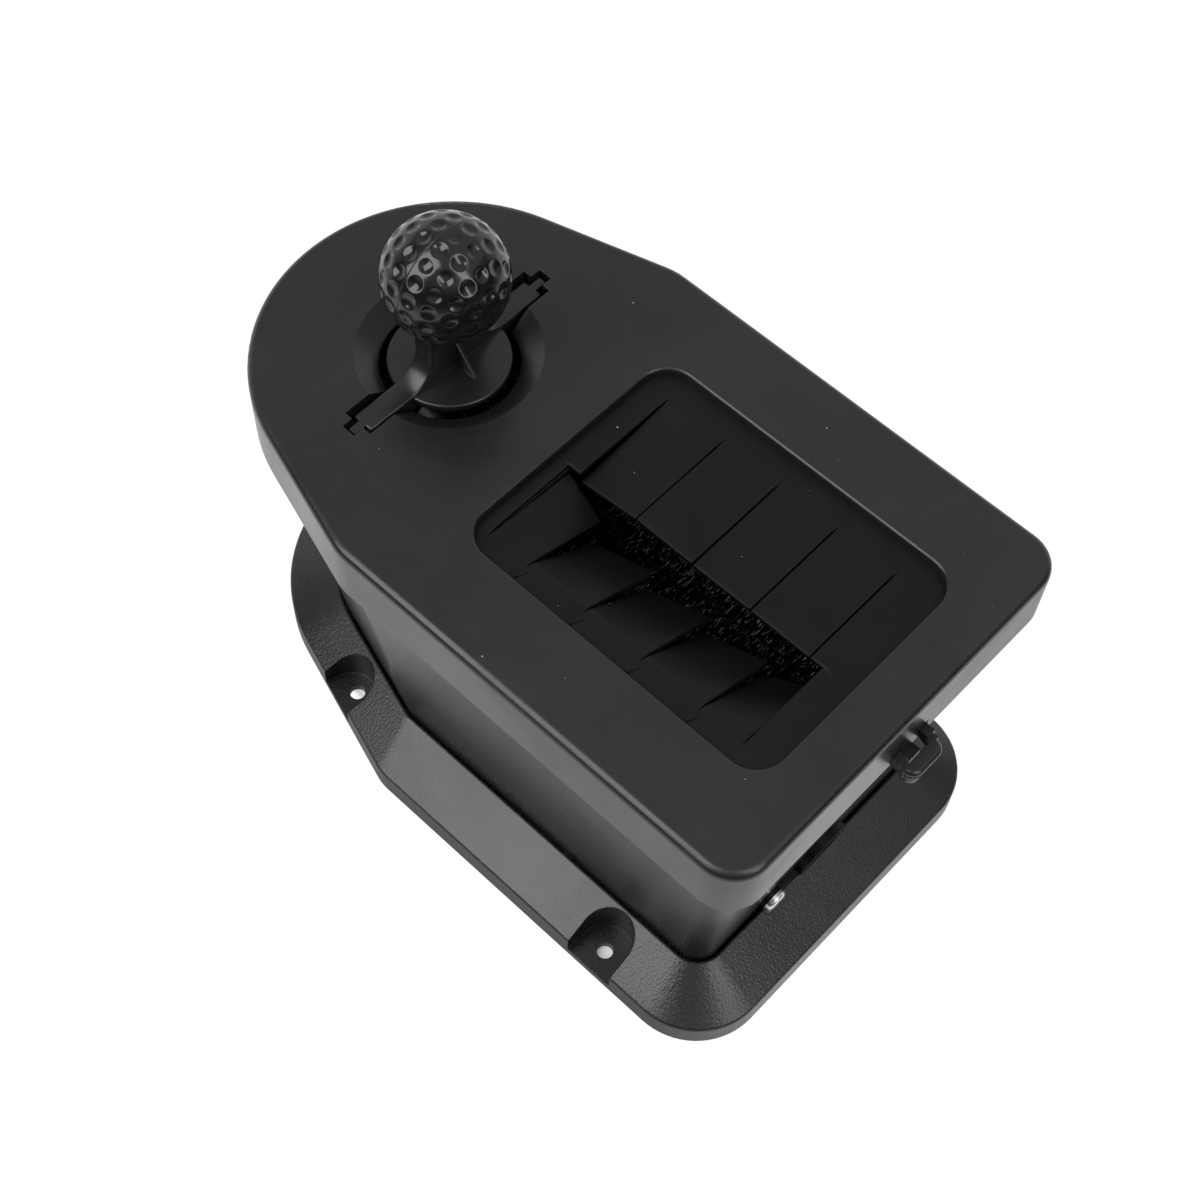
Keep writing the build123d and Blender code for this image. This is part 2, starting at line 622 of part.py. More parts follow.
def latch():
    """Snap latch: two arms on a pin in the skirt, and a grip bar in front of the tub's catch."""
    y, z = latch_axis()
    top = z - BAR_TOP_DOWN
    back = LATCH_BAR_T - LATCH_REACH
    at = Pos(LATCH_X, back, top)
    bar = grip(0)
    bar = at * fillet(bar.faces().sort_by(Axis.Z)[-1].edges(), LATCH_EDGE_R)
    for i in range(GRIP_RIBS):
        low = top - GRIP_FIRST - GRIP_PITCH * i
        bar += (at * grip(GRIP_RIB_OUT)) & box(-LATCH_W, 2 * LATCH_W, -2 * LATCH_W, 0, low - GRIP_RIB_H, low)
    bar -= box(-LATCH_W, 2 * LATCH_W, back, LATCH_W, top - 2 * LATCH_DEPTH, top + OVER)
    arm_top = z + ARM_TOP_UP
    knee = (back - OVER, top - ARM_FOOT)
    points = [(y, arm_top), (-LATCH_ARM_OUT, arm_top), (-LATCH_ARM_OUT, top), (back - OVER, top), knee,
              (back, top - ARM_FOOT), (y, z - ARM_EYE_R)]
    for x0, x1 in arm_spans():
        bar += side_profile(points, x0, x1) + cross_rod(x0, x1, y, z, ARM_EYE_R)
    return bar - cross_rod(-LATCH_W, 2 * LATCH_W, y, z, LATCH_PIN_R + RUN_GAP)


def latch_pin():
    y, z = latch_axis()
    half = LATCH_W / 2 + LATCH_PIN_OVER
    return cross_rod(LATCH_X - half, LATCH_X + half, y, z, LATCH_PIN_R)


def hinge_pin():
    half = HINGE_CENTRE_W / 2 + KNUCKLE_GAP + HINGE_SIDE_W
    return cross_rod(-half, half, HINGE_Y, HINGE_Z, PIN_R)


# ---- flaps ----
def sheet_blank(x0, x1):
    return box(x0, x1, WINDOW_FRONT_Y - FLAP_BORDER, WINDOW_BACK_Y + FLAP_BORDER, SHEET_Z, PLATE_Z)


def screw_holes(body, places, z0, z1, r):
    for x, y in places:
        body -= rod(x, y, z0, z1, r)
    return body


def flap_sheet_right():
    """Flat sheet whose free edge is cut into four equal fingers."""
    sheet = sheet_blank(SLIT_X + CUT_W / 2, WINDOW_WIDTH / 2 + FLAP_BORDER)
    for k in range(-2, 3):
        y = FINGER_MID_Y + k * FINGER_PITCH
        sheet -= box(SLIT_X - 1, RIGHT_ROOT_X, y - CUT_W / 2, y + CUT_W / 2, SHEET_Z - 1, PLATE_Z + 1)
    places = retainer_screw_places()
    return screw_holes(sheet, places, SHEET_Z - OVER, PLATE_Z + OVER, RETAINER_BOSS_R + HEAD_GAP)


def left_cuts():
    """The left sheet's cuts: half a pitch out of step with the right one, narrower end fingers."""
    cuts = [FINGER_MID_Y + (k + 0.5) * FINGER_PITCH for k in range(-2, 2)]
    return [cuts[0] - LEFT_END_FINGER] + cuts + [cuts[-1] + LEFT_END_FINGER]


def drooping_finger(y0, y1, droop):
    """Finger that leaves the sheet level and bends down over an arc."""
    length = SLIT_X - CUT_W / 2 - LEFT_ROOT_X
    arc = math.radians(droop) * FINGER_BEND_R
    path = JernArc((LEFT_ROOT_X, PLATE_Z), (1, 0), FINGER_BEND_R, -droop)
    line = path + Line(path @ 1, path @ 1 + (path % 1) * (length - arc))
    under = offset(line, FLAP_T, side=Side.RIGHT)
    profile = make_face(under)
    return front_profile(profile, y0, y1)


def flap_sheet_left():
    """Sheet with five fingers that have taken a set and hang into the opening."""
    cuts = left_cuts()
    sheet = sheet_blank(-WINDOW_WIDTH / 2 - FLAP_BORDER, SLIT_X - CUT_W / 2)
    sheet -= box(LEFT_ROOT_X, 0, cuts[0] - CUT_W / 2, cuts[-1] + CUT_W / 2, SHEET_Z - 1, PLATE_Z + 1)
    for y0, y1, droop in zip(cuts, cuts[1:], LEFT_DROOP):
        sheet += drooping_finger(y0 + CUT_W / 2, y1 - CUT_W / 2, droop)
    places = retainer_screw_places()
    return screw_holes(sheet, places, SHEET_Z - OVER, PLATE_Z + OVER, RETAINER_BOSS_R + HEAD_GAP)


def retainer_screw_places():
    x = WINDOW_WIDTH / 2 + RETAINER_OUT
    front = WINDOW_FRONT_Y + RETAINER_END
    back = WINDOW_BACK_Y - RETAINER_END
    return [(side * x, y) for side in (-1, 1) for y in (front, (front + back) / 2, back)]


# ---- club brushes ----
def club_frame():
    """Clamping frame under the flaps with two walls that carry the brush blocks."""
    out_x = WINDOW_WIDTH / 2 + FLAP_BORDER
    y0 = WINDOW_FRONT_Y - FLAP_BORDER
    y1 = WINDOW_BACK_Y + FLAP_BORDER
    opening = (-FRAME_OPEN_X, FRAME_OPEN_X, CLUB_FRONT_Y + CLUB_WALL_T, CLUB_BACK_Y - CLUB_WALL_T)
    ring = rounded_block(-out_x, out_x, y0, y1, FRAME_Z, SHEET_Z, FRAME_CORNER_R)
    ring -= rounded_block(*opening, FRAME_Z - OVER, SHEET_Z + OVER, FRAME_OPEN_R)
    low = FRAME_Z - CLUB_DEPTH
    inner = CLUB_WALL_X - CLUB_WALL_T
    lip = inner - BLOCK_T - 2 * BLOCK_GAP
    ledge = inner - BLOCK_T
    ends = (CLUB_FRONT_Y, CLUB_BACK_Y - CLUB_WALL_T)
    for side in (-1, 1):
        wall = box(*span(side, inner, CLUB_WALL_X), CLUB_FRONT_Y, CLUB_BACK_Y, low, FRAME_Z)
        for y in club_slot_rows():
            wall -= Pos(side * CLUB_WALL_X, 0, 0) * club_slot(y, low + CLUB_SLOT_UP)
        ring += wall
        for y in ends:
            ring += box(*span(side, lip, CLUB_WALL_X), y, y + CLUB_WALL_T, low, FRAME_Z)
        foot = span(side, ledge, CLUB_WALL_X)
        ring += box(*foot, CLUB_FRONT_Y, CLUB_BACK_Y, low, low + CLUB_WALL_T)
    for y in ends:
        ring += box(-CLUB_WALL_X, CLUB_WALL_X, y, y + CLUB_WALL_T, low, low + FOOT_BAR_H)
    return screw_holes(ring, retainer_screw_places(), FRAME_Z - OVER, SHEET_Z + OVER, SCREW_R + SCREW_FIT)


def club_slot_rows():
    """Centres of the drain slots, spread evenly along the wall."""
    pitch = (CLUB_BACK_Y - CLUB_FRONT_Y) / (CLUB_SLOTS + 1)
    return [CLUB_FRONT_Y + pitch * (k + 1) for k in range(CLUB_SLOTS)]


def club_slot(y, z):
    """Upright drain slot through a side wall."""
    at = Plane(origin=(0, y, z + CLUB_SLOT_H / 2), x_dir=(0, 1, 0), z_dir=(1, 0, 0))
    shape = at * SlotOverall(CLUB_SLOT_H, CLUB_SLOT_W, rotation=90)
    return extrude(shape, 2 * CLUB_WALL_T, dir=(1, 0, 0), both=True)


def club_block(side):
    """Brush back that stands in the frame's corner posts."""
    outer = CLUB_WALL_X - CLUB_WALL_T - BLOCK_GAP
    inner = outer - BLOCK_T
    y0 = CLUB_FRONT_Y + CLUB_WALL_T + BLOCK_GAP
    y1 = CLUB_BACK_Y - CLUB_WALL_T - BLOCK_GAP
    low = FRAME_Z - CLUB_DEPTH + CLUB_WALL_T
    return box(*span(side, inner, outer), y0, y1, low, FRAME_Z - BLOCK_GAP)


def club_bristles(side, top):
    """Rows of tufts on their strip, pointing at the middle plane."""
    root = CLUB_WALL_X - CLUB_WALL_T - BLOCK_GAP - BLOCK_T
    low = FRAME_Z - CLUB_DEPTH + 2 * CLUB_WALL_T
    y0 = CLUB_FRONT_Y + CLUB_WALL_T + TUFT_END
    y1 = CLUB_BACK_Y - CLUB_WALL_T - TUFT_END
    half = TUFT / 2
    brush = box(*span(side, root - TUFT_STRIP, root), y0 - TUFT, y1 + TUFT, low, top)
    for z in spread(low + TUFT, top - TUFT, CLUB_ROWS):
        for y in spread(y0, y1, CLUB_COLUMNS):
            brush += box(*span(side, CLUB_TIP_X, root), y - half, y + half, z - half, z + half)
    return brush


# ---- ball washer ----
def cage_shape(grow):
    guide_half = STOP_HALF + CAGE_GUIDE_GAP
    core = Rectangle(2 * (CAGE_IN_X + grow), 2 * (CAGE_IN_Y + grow))
    return core + Rectangle(2 * (guide_half + grow), BAR_W + 2 * (CAGE_GUIDE_GAP + grow))


def cage_screw_places():
    x = CAGE_IN_X + CAGE_WALL + CAGE_EAR_OUT
    return [(sx * x, BALL_Y + sy * CAGE_EAR_Y) for sx in (-1, 1) for sy in (-1, 1)]


def ball_cage():
    """Cross-shaped tube below the lid: guides for the paddle's rails, seats for two brush blocks."""
    low = PADDLE_BOTTOM_Z - BLOCK_GAP - CAGE_FLOOR
    at = Pos(0, BALL_Y, low)
    body = extrude(at * cage_shape(CAGE_WALL), PAD_Z - low, dir=(0, 0, 1))
    flange_z = PAD_Z - CAGE_FLANGE
    for x, y in cage_screw_places():
        body += rod(x, y, flange_z, PAD_Z, CAGE_EAR_R)
        root = span(math.copysign(1, x), abs(x) - CAGE_EAR_R, abs(x))
        body += box(*root, y - CAGE_EAR_R, y + CAGE_EAR_R, flange_z, PAD_Z)
    body -= extrude(Pos(0, BALL_Y, low + CAGE_FLOOR) * cage_shape(0), PAD_Z - low, dir=(0, 0, 1))
    body -= rod(0, BALL_Y, low - OVER, low + CAGE_FLOOR + OVER, CAGE_FLOOR_HOLE_R)
    weep_z = BALL_BLOCK_LOW_Z - CAGE_WEEP_DROP
    reach = 2 * (CAGE_IN_Y + 2 * CAGE_WALL)
    for x in (-CAGE_WEEP_X, CAGE_WEEP_X):
        body -= Pos(x, BALL_Y, weep_z) * Rot(90, 0, 0) * Cylinder(CAGE_WEEP_R, reach)
    return screw_holes(body, cage_screw_places(), flange_z - OVER, PAD_Z + OVER, SCREW_R + SCREW_FIT)


def ball_block(side):
    outer = CAGE_IN_Y - BLOCK_GAP
    y0, y1 = sorted((BALL_Y + side * outer, BALL_Y + side * (outer - BALL_BLOCK_T)))
    return box(-BALL_BLOCK_W / 2, BALL_BLOCK_W / 2, y0, y1, BALL_BLOCK_LOW_Z, BALL_BLOCK_TOP_Z)


def ball_bristles(side):
    root = CAGE_IN_Y - BLOCK_GAP - BALL_BLOCK_T
    tip = BAR_W / 2 + BALL_TIP_GAP
    half = TUFT / 2
    reach = BALL_BLOCK_W / 2 - TUFT_END
    strip = box(-BALL_BLOCK_W / 2, BALL_BLOCK_W / 2, *span(side, root - TUFT_STRIP, root), BALL_BLOCK_LOW_Z,
                BALL_BLOCK_TOP_Z)
    brush = strip
    for z in spread(BALL_BLOCK_LOW_Z + TUFT_END, BALL_BLOCK_TOP_Z - TUFT_END, BALL_ROWS):
        for x in spread(-reach, reach, BALL_COLUMNS):
            brush += box(x - half, x + half, *span(side, tip, root), z - half, z + half)
    return Pos(0, BALL_Y, 0) * brush


def yoke_outline():
    """Front view of the cross bar that sweeps up into the stem on both sides."""
    half = SLOT_HALF - BAR_SIDE_GAP
    top = LID_TOP_Z
    neck = KNOB_Z - BALL_R + KNOB_FLAT
    foot = STEM_HALF + STEM_FILLET
    right = Line((half, top - BAR_H), (half, top)) + Line((half, top), (foot, top))
    right += RadiusArc((foot, top), (STEM_HALF, top + STEM_FILLET), -STEM_FILLET)
    right += Line((STEM_HALF, top + STEM_FILLET), (STEM_HALF, neck))
    left = mirror(right, about=Plane.YZ)
    cap = Line((STEM_HALF, neck), (-STEM_HALF, neck))
    sill = Line((half, top - BAR_H), (-half, top - BAR_H))
    return make_face(right + cap + left + sill)


def plunger_paddle():
    """Moulded paddle: rails, ball ring, cross bar with edge tongues, stem, fins and the cap disc."""
    half = SLOT_HALF - BAR_SIDE_GAP
    tip = SLOT_TIP_HALF - BAR_SIDE_GAP
    y0, y1 = BALL_Y - BAR_W / 2, BALL_Y + BAR_W / 2
    top = LID_TOP_Z - BAR_H
    body = front_profile(yoke_outline(), y0, y1)
    ring_r = BALL_R + RING_GAP
    ring = Pos(0, BALL_Y, RING_Z) * Rot(90, 0, 0)
    frame = box(-half, half, y0, y1, PADDLE_BOTTOM_Z, top + OVER)
    frame -= box(RAIL_W - half, half - RAIL_W, y0 - OVER, y1 + OVER, PADDLE_BOTTOM_Z + RAIL_W, top)
    frame += ring * Cylinder(ring_r + RING_WALL, BAR_W)
    frame += box(-half, half, y0, y1, RING_Z - SPOKE_H / 2, RING_Z + SPOKE_H / 2)
    frame += box(-SPOKE_W / 2, SPOKE_W / 2, y0, y1, RING_Z, top)
    body += frame - ring * Cylinder(ring_r, BAR_W + 2 * OVER)
    stop_z = PADDLE_BOTTOM_Z + STOP_H
    tongue_y = (BALL_Y - TIP_W / 2, BALL_Y + TIP_W / 2)
    for side in (-1, 1):
        body += box(*span(side, half - OVER, tip), *tongue_y, PADDLE_BOTTOM_Z, LID_TOP_Z)
        body += box(*span(side, half - OVER, STOP_HALF), *tongue_y, PADDLE_BOTTOM_Z, stop_z)
    body += rod(0, BALL_Y, CAP_TOP_Z - CAP_T, CAP_TOP_Z, HOLE_R - CAP_GAP)
    neck = KNOB_Z - BALL_R
    foot_z = CAP_TOP_Z - CAP_T / 2
    shin = BAR_W / 2 - SCREW_FIT
    fin = [(-FIN_REACH, foot_z), (-shin, neck), (shin, neck), (FIN_REACH, foot_z)]
    body += Pos(0, BALL_Y, 0) * side_profile(fin, -FIN_T / 2, FIN_T / 2)
    body += rod(0, BALL_Y, neck - SPIGOT_IN, neck + SOCKET_DEPTH, SOCKET_R - SCREW_FIT)
    return body


def plunger_knob():
    """Golf-ball knob with a flat at the stem and a socket for it."""
    foot = KNOB_Z - BALL_R
    seat = foot + KNOB_FLAT
    ball = Pos(0, BALL_Y, KNOB_Z) * Sphere(BALL_R)
    ball -= box(-BALL_R, BALL_R, BALL_Y - BALL_R, BALL_Y + BALL_R, foot - OVER, seat)
    return ball - rod(0, BALL_Y, seat - OVER, foot + SOCKET_DEPTH + HEAD_GAP, SOCKET_R)


# ---- drain ----
def drain_plug():
    """Rubber plug: dished flange with a grip bar, and a tapered stopper in the bore."""
    wall = on_front_wall(0, DRAIN_Z)
    reach = TUB_WALL + DRAIN_BOSS_IN - PLUG_SHORT
    dish = DRAIN_FLANGE_T - DRAIN_WEB
    plug = Pos(0, 0, DRAIN_FLANGE_T / 2) * Cylinder(DRAIN_FLANGE_R, DRAIN_FLANGE_T)
    plug -= Pos(0, 0, DRAIN_FLANGE_T) * Cylinder(DRAIN_FLANGE_R - DRAIN_RIM, 2 * dish)
    grip = 2 * DRAIN_FLANGE_R - DRAIN_RIM
    plug += Pos(0, 0, DRAIN_FLANGE_T - dish / 2) * Box(grip, DRAIN_GRIP_W, dish)
    plug += Pos(0, 0, -reach / 2) * Cone(DRAIN_BORE_R - PLUG_TAPER, DRAIN_BORE_R - PLUG_GAP, reach)
    return wall * plug


def plug_tether():
    """Rubber strap that keeps the plug, held by one screw."""
    gap = -TETHER_X - DRAIN_FLANGE_R - STRAP_GAP
    strap = Pos(gap / 2, 0) * Rectangle(gap, TETHER_W) + Circle(TETHER_EYE_R)
    strap = extrude(strap, TETHER_T, dir=(0, 0, 1))
    strap -= Cylinder(SCREW_R + SCREW_FIT, 4 * TETHER_T)
    return tether_frame() * strap


def tether_frame():
    """Frame of the strap's screw on the front wall."""
    return on_front_wall(TETHER_X, DRAIN_Z - TETHER_DROP)


def tether_screw():
    head = Pos(0, 0, TETHER_T + TETHER_HEAD_H / 2) * Cylinder(TETHER_SCREW_R, TETHER_HEAD_H)
    head = fillet(head.edges().sort_by(Axis.Z)[-1], TETHER_HEAD_H * 0.6)
    shank = TETHER_T + TUB_WALL - OVER
    return tether_frame() * (head + Pos(0, 0, TETHER_T - shank / 2) * Cylinder(SCREW_R, shank))


# ---- screws ----
def screw_up(x, y, seat, length):
    """Screw driven upwards, its head under the seat."""
    head = rod(x, y, seat - SCREW_HEAD_H, seat, SCREW_HEAD_R)
    return head + rod(x, y, seat - OVER, seat + length, SCREW_R)


NODES = {
    "mounting_base": mounting_base(),
    "tub": tub(),
    "rim_gasket": rim_gasket(),
    "hinge_pin": hinge_pin(),
    "drain_plug": drain_plug(),
    "plug_tether": plug_tether(),
    "tether_screw": tether_screw(),
    "lid": lid(),
    "latch": latch(),
    "latch_catch": latch_catch(),
    "latch_pin": latch_pin(),
    "flap_sheet_left": flap_sheet_left(),
    "flap_sheet_right": flap_sheet_right(),
    "club_frame": club_frame(),
    "club_block_left": club_block(-1),
    "club_block_right": club_block(1),
    "club_bristles_left": club_bristles(-1, LEFT_TOP_Z),
    "club_bristles_right": club_bristles(1, RIGHT_TOP_Z),
    "ball_cage": ball_cage(),
    "ball_block_front": ball_block(-1),
    "ball_block_back": ball_block(1),
    "ball_bristles_front": ball_bristles(-1),
    "ball_bristles_back": ball_bristles(1),
    "plunger_paddle": plunger_paddle(),
    "plunger_knob": plunger_knob(),
}
for index, (px, py) in enumerate(base_screw_places(), 1):
    NODES[f"base_screw_{index}"] = screw_up(px, py, SCREW_HEAD_H + HEAD_GAP, BASE_SCREW_LENGTH)
for index, (px, py) in enumerate(retainer_screw_places(), 1):
    NODES[f"frame_screw_{index}"] = screw_up(px, py, FRAME_Z, RETAINER_LENGTH)
for index, (px, py) in enumerate(cage_screw_places(), 1):
    NODES[f"cage_screw_{index}"] = screw_up(px, py, PAD_Z - CAGE_FLANGE, CAGE_SCREW_LENGTH)

os.makedirs("parts", exist_ok=True)
for name, solid in NODES.items():
    export_step(Pos(0, -ORIGIN_Y, 0) * solid, f"parts/{name}.step")
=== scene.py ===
import json
import math
import random

import bmesh
import bpy
import numpy as np
from mathutils import Matrix, Vector


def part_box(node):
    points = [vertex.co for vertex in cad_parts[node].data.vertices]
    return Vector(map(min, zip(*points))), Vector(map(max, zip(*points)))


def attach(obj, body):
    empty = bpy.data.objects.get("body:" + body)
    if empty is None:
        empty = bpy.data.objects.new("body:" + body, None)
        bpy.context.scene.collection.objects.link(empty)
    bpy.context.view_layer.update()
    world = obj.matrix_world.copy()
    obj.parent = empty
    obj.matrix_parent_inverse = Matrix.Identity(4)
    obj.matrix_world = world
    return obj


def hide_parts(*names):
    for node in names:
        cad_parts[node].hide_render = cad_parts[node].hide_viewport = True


bl_info = {
    "name": "Club and Ball Washer",
    "version": (1, 0, 0),
    "blender": (4, 5, 0),
    "location": "3D View > Sidebar > Washer",
    "description": "Dresses the washer's solids: finishes, dimpled knob, rubber flaps, brushes and studio",
    "category": "Object",
}

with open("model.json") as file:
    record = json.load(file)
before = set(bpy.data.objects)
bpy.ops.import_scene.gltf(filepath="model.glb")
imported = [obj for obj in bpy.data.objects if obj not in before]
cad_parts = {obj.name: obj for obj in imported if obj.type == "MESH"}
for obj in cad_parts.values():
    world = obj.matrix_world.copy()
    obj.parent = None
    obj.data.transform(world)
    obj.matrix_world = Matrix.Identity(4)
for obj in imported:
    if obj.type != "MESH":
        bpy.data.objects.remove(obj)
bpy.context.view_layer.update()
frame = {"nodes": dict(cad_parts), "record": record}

SLOT_NODES = {}
for entry in frame["record"]["subparts"]:
    SLOT_NODES.setdefault(entry["material_slot"], []).append(entry["node"])


# ---------------------------------------------------------------- settings
def length(name, description, default, **limits):
    """A length in metres."""
    return bpy.props.FloatProperty(
        name=name,
        description=description,
        default=default,
        subtype="DISTANCE",
        unit="LENGTH",
        precision=5,
        **limits,
    )


def angle(name, description, degrees):
    return bpy.props.FloatProperty(
        name=name, description=description, default=math.radians(degrees), subtype="ANGLE", unit="ROTATION"
    )


def factor(name, description, default, low=0.0, high=1.0):
    return bpy.props.FloatProperty(
        name=name, description=description, default=default, min=low, max=high, subtype="FACTOR"
    )


def whole(name, description, default, low, high):
    return bpy.props.IntProperty(name=name, description=description, default=default, min=low, max=high)


def radiance(name, description, default):
    return bpy.props.FloatProperty(name=name, description=description, default=default, min=0.0)


def colour(name, description, default):
    return bpy.props.FloatVectorProperty(
        name=name, description=description, default=default, size=3, min=0.0, max=1.0, subtype="COLOR"
    )


class WasherFinishes(bpy.types.PropertyGroup):
    """Colours and surface values of every material"""

    shell: colour("Shell", "Satin plastic of the lid, tub and plunger", (0.0105, 0.0107, 0.0112))
    shell_roughness: factor("Shell roughness", "Sheen of the shell's plastic", 0.3)
    base: colour("Base", "Grained plastic of the mounting base", (0.0115, 0.0117, 0.0123))
    base_roughness: factor("Base roughness", "Sheen of the base's plastic", 0.29)
    knob: colour("Knob", "Glossy plastic of the ball knob", (0.0075, 0.0075, 0.0079))
    knob_roughness: factor("Knob roughness", "Sheen of the knob", 0.15)
    rubber: colour("Rubber", "Flaps, plug, strap and gasket", (0.0036, 0.0038, 0.0043))
    rubber_roughness: factor("Rubber roughness", "Sheen of the rubber", 0.5)
    nylon: colour("Nylon", "Brush bristles", (0.06, 0.06, 0.059))
    brush_back: colour("Brush backs", "Blocks that hold the bristles", (0.01, 0.01, 0.0105))
    steel: colour("Steel", "Zinc-plated pins and screws", (0.8, 0.78, 0.75))
    grain: length("Shell grain", "Width of the fine moulded grain", 0.00045, min=0.00005)
    coarse_grain: length("Base grain", "Width of the base's moulded grain", 0.0009, min=0.00005)
    edge_radius: length("Edge radius", "Small rounding seen on the moulded edges", 0.0004, min=0.0)
    dust: factor("Dust", "How many fine specks lie on the plastic", 0.75)


class WasherKnob(bpy.types.PropertyGroup):
    """Golf-ball knob"""

    dimple_width: length("Dimple width", "Diameter of one dimple", 0.0054)
    dimple_depth: length("Dimple depth", "Depth of one dimple", 0.00085)
    rim_round: factor("Rim rounding", "Share of a dimple's depth that rounds over at its rim", 0.16)
    ridge: length("Parting ridge", "Half width of the mould's parting ridge", 0.00016)


class WasherPaddle(bpy.types.PropertyGroup):
    """Paddle that carries the knob and the ball ring"""

    width: length("Width", "Bar, rails and ring from front to back", 0.0084)
    bar_half: length("Bar half length", "Middle of the bar to its end", 0.040)
    bar_drop: length("Bar drop", "Bar's top below the lid's", 0.0018)
    bar_height: length("Bar height", "Depth of the cross bar", 0.007)
    stem_half: length("Stem half width", "Middle of the stem to its side", 0.0115)
    sweep: length("Sweep", "Radius from the bar up into the stem", 0.0105)
    rail: length("Rail", "Width of the upright rails", 0.009)
    ring: length("Ring", "Inner radius of the ball ring", 0.0218)
    ring_wall: length("Ring wall", "Wall of the ball ring", 0.0055)
    ring_drop: length("Ring drop", "Ball ring's centre below the lid", 0.051)
    web: length("Web", "Height of the cross web beside the ring", 0.010)
    post: length("Post", "Width of the web above the ring", 0.008)
    tongue: length("Tongue", "Thickness of the tongues on the rails", 0.003)
    stop_height: length("Stop height", "Height of the lugs at the rails' feet", 0.003)
    tongue_half: length("Tongue half width", "Middle of the paddle to a tongue's edge", 0.0447)
    cap: length("Cap", "Radius of the disc over the ball hole", 0.0212)
    cap_drop: length("Cap drop", "Disc's top below the lid's", 0.003)
    cap_thickness: length("Cap thickness", "Thickness of the disc", 0.003)
    fin_reach: length("Fin reach", "Foot of a fin from the stem's middle", 0.0138)
    fin_thickness: length("Fin thickness", "Thickness of the fins", 0.002)
    fin_up: length("Fin height", "Fin's top above the lid", 0.009)
    spigot: length("Spigot", "Radius of the spigot inside the knob", 0.0042)
    edge: length("Edge", "Rounding of the bar's edges", 0.0007)


class WasherFlaps(bpy.types.PropertyGroup):
    """Rubber sheets in the club window"""

    thickness: length("Thickness", "Thickness of the sheets", 0.002)
    pitch: length("Finger pitch", "Distance between cuts", 0.0244)
    cut_shift: length("Cut shift", "Middle cut behind the sheet's middle", 0.00375)
    cut_width: length("Cut width", "Opening of one cut", 0.0005)
    end_finger: length("End finger", "Width of the left sheet's end fingers", 0.0172)
    right_root: length("Right roots", "Roots of the right sheet's cuts from the middle plane", 0.0395)
    left_root: length("Left roots", "Roots of the left sheet's cuts from the middle plane", 0.041)
    bend_radius: length("Bend radius", "Radius over which a drooping finger leaves the sheet", 0.006)
    edge_round: length("Edge rounding", "Rounding of the rubber's edges", 0.0004)


class WasherBrushes(bpy.types.PropertyGroup):
    """Bristle tufts"""

    bristle: length("Bristle", "Diameter of one bristle", 0.0005)
    tuft: length("Tuft", "Diameter of a tuft at its root", 0.0032)
    spread: length("Spread", "How far the tips stand apart from their tuft", 0.0024)
    count: whole("Bristles", "Bristles in one tuft", 8, 3, 40)
    rows: whole("Rows", "Rows of tufts on a club brush", 11, 2, 30)
    columns: whole("Columns", "Columns of tufts on a club brush", 18, 2, 40)


class WasherStudio(bpy.types.PropertyGroup):
    """Floor, lights and camera"""

    floor_size: length("Floor size", "Side of the square floor", 8.0)
    front_light: radiance("Front light", "Radiance of the upright soft box in front of the washer", 4.4)
    left_light: radiance("Left light", "Radiance of the soft box over the washer's left side", 4.6)
    ceiling: factor("Ceiling", "How bright the studio is overhead in reflections", 0.62)
    shaded_side: factor("Shaded side", "Share of that brightness left over at the far left", 0.4)
    fill: factor("Fill", "Even light from all round", 0.24)
    near_floor: length("Near floor", "Radius of floor that shows white in reflections", 0.5)
    foot_shade: length("Foot shade", "How far from the base the floor is shaded in reflections", 0.05)
    horizon: factor("Horizon", "How bright the studio's far side is near the floor", 0.9)
    camera_place: bpy.props.FloatVectorProperty(
        name="Camera place",
        description="Where the camera stands",
        default=(-0.28421, -0.24803, 0.70256),
        size=3,
        subtype="XYZ",
        unit="LENGTH",
    )
    camera_turn: angle("Camera turn", "Heading of the camera round the washer", -49.567)
    camera_height: angle("Camera height", "How steeply the camera looks down", 59.140)
    camera_roll: angle("Camera roll", "Tilt of the camera about its own axis", 3.290)
    lens: bpy.props.FloatProperty(
        name="Lens", description="Focal length", default=61.42, min=10.0, subtype="DISTANCE_CAMERA"
    )


# ---------------------------------------------------------------- modelling helpers
def activate(piece):
    """Selects this piece alone and makes it the active one."""
    if bpy.context.object and bpy.context.object.mode != "OBJECT":
        bpy.ops.object.mode_set(mode="OBJECT")
    bpy.ops.object.select_all(action="DESELECT")
    piece.select_set(True)
    bpy.context.view_layer.objects.active = piece


def new_piece(name):
    """Names what was just added and puts its place into its mesh."""
    piece = bpy.context.object
    piece.name = name
    piece.data.name = name
    activate(piece)
    bpy.ops.object.transform_apply(location=True, rotation=True, scale=True)
    return piece


def start_piece():
    if bpy.context.object and bpy.context.object.mode != "OBJECT":
        bpy.ops.object.mode_set(mode="OBJECT")
    bpy.ops.object.select_all(action="DESELECT")


def add_modifier(piece, kind, **values):
    """Adds a modifier and applies it."""
    activate(piece)
    bpy.ops.object.modifier_add(type=kind)
    modifier = piece.modifiers[-1]
    for key, value in values.items():
        setattr(modifier, key, value)
    bpy.ops.object.modifier_apply(modifier=modifier.name)


def smooth(piece, limit=math.radians(35)):
    activate(piece)
    bpy.ops.object.shade_smooth_by_angle(angle=limit)


def join(pieces, name):
    """Joins pieces into one."""
    activate(pieces[0])
    for piece in pieces[1:]:
        piece.select_set(True)
    bpy.ops.object.join()
    joined = bpy.context.object
    joined.name = name
    joined.data.name = name
    return joined


